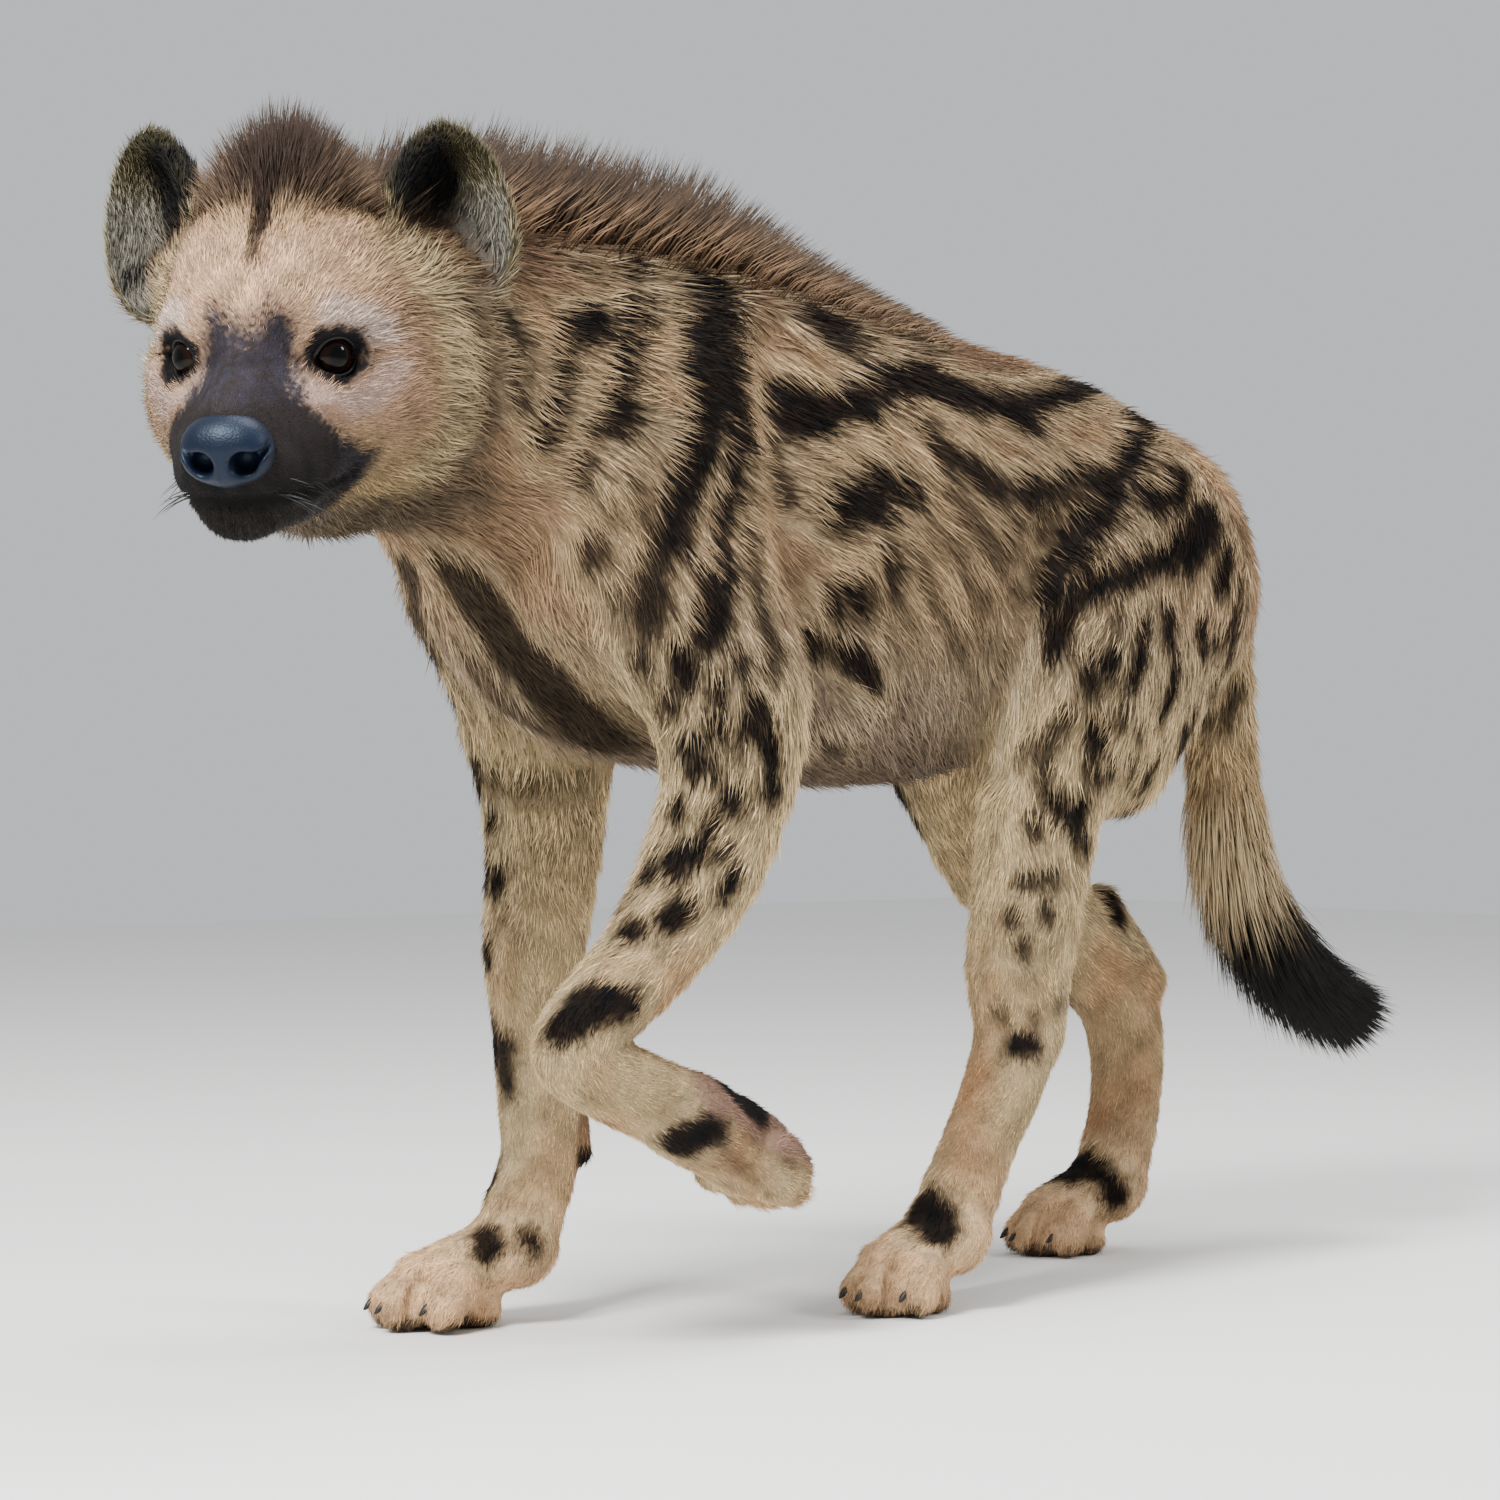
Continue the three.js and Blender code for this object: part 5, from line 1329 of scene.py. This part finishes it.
dark = smooth(60, 18, np.abs(x + 9 * fresh)) * smooth(10 + 0.5 * np.abs(x), 36 + 0.5 * np.abs(x), y)
dark = np.maximum(dark, smooth(9, 4, np.abs(x + 1.5 * fresh)))
front = smooth(36, 16, y - 0.2 * np.abs(x))
tone = lay(between("#4a392b", "#b08c68", front), "#120c09", dark)
tip_tone = lay(between("#7d6650", "#cdae88", front), "#36281f", dark)
long_locks("crest", "head", root, out, tip, across, length, 1.0 + 0.01 * length, tone, tip_tone)

count = 6500
STEPS = 3
low_end = 3.2 * STEPS
place = low_end + random.uniform(0, 1, count) ** 0.8 * (len(TAIL_LINE) - 1.2 - low_end)
knot_at = place.astype(int)
next_knot = np.minimum(knot_at + 1, len(TAIL_LINE) - 1)
knot = mix(TAIL_LINE[knot_at], TAIL_LINE[next_knot], place - knot_at)
way = unit(np.gradient(TAIL_LINE[:, :3], axis=0))[knot_at]
turned = random.uniform(0, 2 * np.pi, count)[:, None]
rear = np.cross(way, [1.0, 0, 0])
outward = unit(np.cos(turned) * np.array([1.0, 0, 0]) + np.sin(turned) * rear)
root = knot[:, :3] + outward * (knot[:, 3:4] - 6)
down = smooth(low_end, 6 * STEPS, place)
out = unit(way + outward * (0.36 + 0.16 * down[:, None] + 0.1 * random.normal(size=(count, 1))))
tip = unit(way + outward * (0.06 + 0.16 * down[:, None] + 0.1 * random.normal(size=(count, 1))))
length = (46 + 30 * smooth(low_end, 4.6 * STEPS, place) - 8 * down) * random.uniform(0.7, 1.1, count)
black = smooth(345, 300, root[:, 2] - 0.35 * (root[:, 1] - 460) + 8 * random.normal(size=count))
tone, tip_tone = between("#a98f6c", "#080706", black), between("#cdb58e", "#17130f", black)
long_locks("brush", "tail", root, out, tip, outward, length, 1.3 + 0.012 * length,
           tone, tip_tone)

# Eyes: blown glass, dark brown with a black pupil and a clear bulge over it, in lids of bare
# dark leather.

around = np.linspace(0, 2 * np.pi, 48, endpoint=False)
down = np.linspace(0, np.pi, 40)[1:-1]


def ball_faces(rows, columns):
    """Quads of a grid of rings that closes round; its poles are left open."""
    i, k = np.meshgrid(np.arange(rows - 1), np.arange(columns), indexing="ij")
    a, b = i * columns + k, i * columns + (k + 1) % columns
    return np.stack([a, a + columns, b + columns, b], -1).reshape(-1, 4)


# Blown glass over a painted iris: nearly black, with one small sharp highlight
glass, tree = new_material("dark glass of an eye")
colour = add_node(tree, "ShaderNodeAttribute", {"attribute_name": "coat_colour"})
shader = add_node(tree, "ShaderNodeBsdfPrincipled", Base_Color=colour.outputs["Color"], Roughness=0.03)
shader.inputs["IOR"].default_value = 1.22
finish_material(tree, shader)
# Bare leather, nearly black, with a fine grain that breaks up its soft gloss
LID_GRAIN = 1.43
lid_leather, tree = new_material("bare dark lid leather")
place = add_node(tree, "ShaderNodeTexCoord")
grain = add_node(tree, "ShaderNodeTexNoise", Vector=place.outputs["Object"], Scale=1000 / LID_GRAIN,
                 Detail=3.0)
bump = add_node(tree, "ShaderNodeBump", Height=grain.outputs[0], Strength=0.5, Distance=0.0005)
shader = add_node(tree, "ShaderNodeBsdfPrincipled", Base_Color=(*srgb("#0c0909"), 1), Roughness=0.45,
                  Normal=bump.outputs[0])
shader.inputs["Specular IOR Level"].default_value = 0.25
finish_material(tree, shader)
EYE_AXES = np.array([EYE_SIDE, EYE_UP, EYE_OUT])
for name, side in (("left", 1), ("right", -1)):
    t, a = np.meshgrid(down, around, indexing="ij")
    radius = 17.6 + 1.3 * np.exp(-(t / 0.62) ** 4)
    ball = np.stack([np.cos(a) * np.sin(t), np.sin(a) * np.sin(t), np.cos(t)], -1) * radius[..., None]
    local = ball.reshape(-1, 3) @ EYE_AXES
    poles = np.array([EYE_OUT * 18.9, -EYE_OUT * 17.6])
    local = np.concatenate([local, poles]) + np.array(EYE["at"])
    q = local * [side, 1, 1]
    faces = ball_faces(len(down), len(around))
    n, m = len(around), len(local)
    k = np.arange(n)
    front_cap = np.stack([k, (k + 1) % n, np.full(n, m - 2)], -1)
    rear_cap = np.stack([(k + 1) % n + m - 2 - n, k + m - 2 - n, np.full(n, m - 1)], -1)
    tri = np.concatenate([faces[:, [0, 1, 2]], faces[:, [0, 2, 3]], front_cap, rear_cap])
    tri = tri if side > 0 else tri[:, ::-1]
    eye = new_object(f"glass_eye_{name}", from_head(q), tri, glass)
    t = np.append(t.ravel(), [0, np.pi])
    tone = between("#010101", "#0d0603", smooth(0.3, 0.4, t))
    tone = lay(tone, "#180b05", smooth(0.42, 0.6, t))
    tone = lay(tone, "#040202", smooth(0.66, 0.74, t))
    tone = lay(tone, "#3a1811", smooth(0.8, 0.94, t))
    paint(eye, tone)
    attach(eye, "root")
    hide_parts(f"eye_{name}")

    a = np.linspace(0, 2 * np.pi, 72, endpoint=False)
    w = 17.0 * np.cos(a) + 1.0 * np.maximum(np.cos(a), 0) ** 6 - 1.2
    h = 13.2 * np.sin(a) * (1 - 0.2 * np.cos(a) ** 4) - 3 * np.maximum(np.cos(a), 0) ** 6 - 0.4
    f = np.sqrt(np.maximum(19.4**2 - w**2 - h**2, 9)) - 0.5
    middle = np.stack([w, h, f], -1)
    ahead = unit(np.roll(middle, -1, 0) - np.roll(middle, 1, 0))
    outward = unit(middle)
    inward = np.cross(ahead, outward)
    thick = (1.3 + 0.6 * smooth(0, 0.6, np.sin(a)))[:, None, None]
    b = np.linspace(0, 2 * np.pi, 10, endpoint=False)
    spoke = np.cos(b)[:, None] * outward[:, None] + 1.5 * np.sin(b)[:, None] * inward[:, None]
    local = (middle[:, None] + thick * spoke).reshape(-1, 3) @ EYE_AXES + np.array(EYE["at"])
    i, k = np.meshgrid(np.arange(72), np.arange(10), indexing="ij")
    i_next, k_next = (i + 1) % 72 * 10, (k + 1) % 10
    quads = np.stack([i * 10 + k, i_next + k, i_next + k_next, i * 10 + k_next], -1).reshape(-1, 4)
    quads = quads[:, ::-1] if side > 0 else quads
    lid = new_object(f"eyelid_{name}", from_head(local * [side, 1, 1]), quads, lid_leather)
    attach(lid, "root")

# Nose: bare leather, blue-black and finely pebbled, modelled over a core and glued to the end of
# the muzzle, with open comma-shaped nostrils and a furrow down the middle.


def nose_form(q):
    """Distance to the nose: rods for its pad and its bridge, less a nostril with a slit on each
    side and the furrow."""
    d = rods(q, NOSE)
    s = mirrored(q)
    d = join(d, rod(q, [[0, -88, -42], [0, -74, -34], 14, 12, 1.2]), 10)
    d = carve(d, rod(s, [[14, -113, -58], [14, -96, -54], 9.6, 7.5, 1]), 4)
    d = carve(d, rod(s, [[18, -106, -55], [28, -95, -45], 5, 2, 1]), 3)
    return carve(d, rod(q, [[0, -114, -52], [0, -106, -74], 0.8, 1.4, 1]), 4)


# Pebbled leather: blue-black, with a broad soft gleam along the top
PEBBLE = 1.613
TINGE = 16.67
nose_leather, tree = new_material("pebbled nose leather")
place = add_node(tree, "ShaderNodeTexCoord")
pebbles = add_node(tree, "ShaderNodeTexVoronoi", Vector=place.outputs["Object"], Scale=1000 / PEBBLE)
tinge = add_node(tree, "ShaderNodeTexNoise", Vector=place.outputs["Object"], Scale=1000 / TINGE)
ramp = add_node(tree, "ShaderNodeMix", {"data_type": "RGBA"}, _0=tinge.outputs[0])
ramp.inputs[6].default_value = (*srgb("#04060b"), 1)
ramp.inputs[7].default_value = (*srgb("#0d1629"), 1)
bump = add_node(tree, "ShaderNodeBump", Height=pebbles.outputs[0], Strength=0.4, Distance=0.0004)
shader = add_node(tree, "ShaderNodeBsdfPrincipled", Base_Color=ramp.outputs[2], Roughness=0.46,
                  Normal=bump.outputs[0])
shader.inputs["Specular IOR Level"].default_value = 0.26
shader.inputs["Specular Tint"].default_value = (0.64, 0.79, 1.0, 1)
finish_material(tree, shader)
nose_lines = (np.arange(-36, 36.1, 1.4), np.arange(-118, -64, 1.4), np.arange(-88, -20, 1.4))
nose_points, nose_faces = crossing_mesh(nose_form, nose_lines)
nose_points -= gradient(nose_form, nose_points) * nose_form(nose_points)[:, None]
nose = new_object("nose_leather", from_head(nose_points), nose_faces, nose_leather)
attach(nose, "root")
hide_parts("nose")

# Claws: blunt black horn, four to a paw, each let into the end of its toe so that only the worn
# tip shows.

# Horn: black and worn dull, with uneven growth
GROWTH = 3.33
horn, tree = new_material("black claw horn")
place = add_node(tree, "ShaderNodeTexCoord")
growth = add_node(tree, "ShaderNodeTexNoise", Vector=place.outputs["Object"], Scale=1000 / GROWTH)
bump = add_node(tree, "ShaderNodeBump", Height=growth.outputs[0], Strength=0.3, Distance=0.0004)
shader = add_node(tree, "ShaderNodeBsdfPrincipled", Base_Color=(*srgb("#0d0b0a"), 1), Roughness=0.5,
                  Normal=bump.outputs[0])
finish_material(tree, shader)
for name in PAWS:
    for number, (root, ahead, top, side) in enumerate(PAW_FORMS[name][1]):
        s = np.linspace(0, 1, 9)
        b = np.linspace(0, 2 * np.pi, 12, endpoint=False)
        centre = root + 13.5 * (s[:, None] * ahead + (0.1 * s - 0.6 * s**2)[:, None] * top)
        size = (1 - 0.55 * s**1.6) * np.sqrt(np.clip(1 - (np.maximum(s - 0.8, 0) / 0.21) ** 2, 0, 1))
        rings = (centre[:, None] + (3.4 * size)[:, None, None] * np.cos(b)[None, :, None] * side
                 + (4.6 * size)[:, None, None] * np.sin(b)[None, :, None] * top)
        points = np.concatenate([rings.reshape(-1, 3), centre[:1] - ahead, centre[-1:] + ahead * 0.2])
        quads = ball_faces(9, 12)
        k = np.arange(12)
        ends = np.concatenate([np.stack([(k + 1) % 12, k, np.full(12, 108)], -1),
                               np.stack([k + 96, (k + 1) % 12 + 96, np.full(12, 109)], -1)])
        tri = np.concatenate([quads[:, [0, 1, 2]], quads[:, [0, 2, 3]], ends[:, ::-1]])
        claw = new_object(f"horn_claw_{name}_{number + 1}", points, tri, horn)
        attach(claw, "root")
        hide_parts(f"claw_{name}_{number + 1}")

# Whiskers: stiff black bristles on both sides of the muzzle, of the same stuff as the claws, each
# set into the lip by its root and sagging a little.

count = 30
side = np.repeat([1.0, -1.0], count // 2)
ones = np.ones(count)
start = np.column_stack([30 + 8 * random.uniform(size=count), random.uniform(-84, -48, count),
                         random.uniform(-84, -62, count)])
bristle_root = from_head(start * np.column_stack([0.8 * side, ones, ones]))
aim = np.column_stack([side, random.normal(0.25, 0.25, count), random.normal(-0.2, 0.3, count)])
aim = unit(aim) @ HEAD.T
sag = unit(aim + np.array([0, 0.25, -0.55]))
points, faces, s, across = lay_tufts(bristle_root, aim, sag, np.tile([0.0, 0, 1.0], (count, 1)),
                                     random.uniform(22, 38, count), 0.9 * ones, 0.8 * ones, rings=4)
whiskers = new_object("whiskers", points, faces, horn)
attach(whiskers, "root")

# Floor, light and camera: a sheet of pale paper, three soft lamps and a dim grey surround, and the
# camera that took the photograph's view, 3 m away and level.

# Matt paper: it takes soft shadows and gives no gleam
floor_material, tree = new_material("pale matt studio floor")
shader = add_node(tree, "ShaderNodeBsdfPrincipled", Base_Color=(*srgb("#ecebe8"), 1), Roughness=0.9)
finish_material(tree, shader)
corner = np.array([[-6000, -6000, 0], [6000, -6000, 0], [6000, 6000, 0], [-6000, 6000, 0]], float)
floor = new_object("floor", corner, np.array([[0, 1, 2, 3]]), floor_material)

world = bpy.data.worlds.new("soft studio light")
world.use_nodes = True
world.node_tree.nodes["Background"].inputs["Color"].default_value = (0.95, 0.97, 1.0, 1)
world.node_tree.nodes["Background"].inputs["Strength"].default_value = 0.7
bpy.context.scene.world = world


def standing(side, up, back, place):
    """The matrix of a lamp or camera from its three axes and its place."""
    return Matrix(np.column_stack([side, up, back, place]).tolist()).to_4x4()


def soft_light(name, place, aim, size, power):
    """A square lamp at a place, turned to what it aims at."""
    data = bpy.data.lights.new(name, "AREA")
    data.size = size
    data.energy = power
    lamp = bpy.data.objects.new(name, data)
    way = unit(np.array(aim, float) - np.array(place, float))
    side = unit(np.cross(way, [0, 0, 1]))
    up = np.cross(side, way)
    lamp.matrix_world = standing(side, up, -way, place)
    bpy.context.scene.collection.objects.link(lamp)


soft_light("key light", toward * 2.2 - right * 1.2 + np.array([0, 0, 2.6]), [0, 0, 0.5], 1.0, 250)
soft_light("side light", toward * 0.7 + right * 2.4 + np.array([0, 0, 2.0]), [0, 0, 0.6], 0.6, 35)
soft_light("top light", np.array([0.2, 0.3, 3.2]), [0, 0, 0.5], 1.6, 80)

camera_data = bpy.data.cameras.new("camera")
camera_data.sensor_width = 36
camera_data.lens = FOCAL_PIXELS / 1500 * 36
camera = bpy.data.objects.new("camera", camera_data)
place = (LENS_AT - ORIGIN) / 1000
camera.matrix_world = standing(right, [0, 0, 1], toward, place)
bpy.context.scene.collection.objects.link(camera)
bpy.context.scene.camera = camera
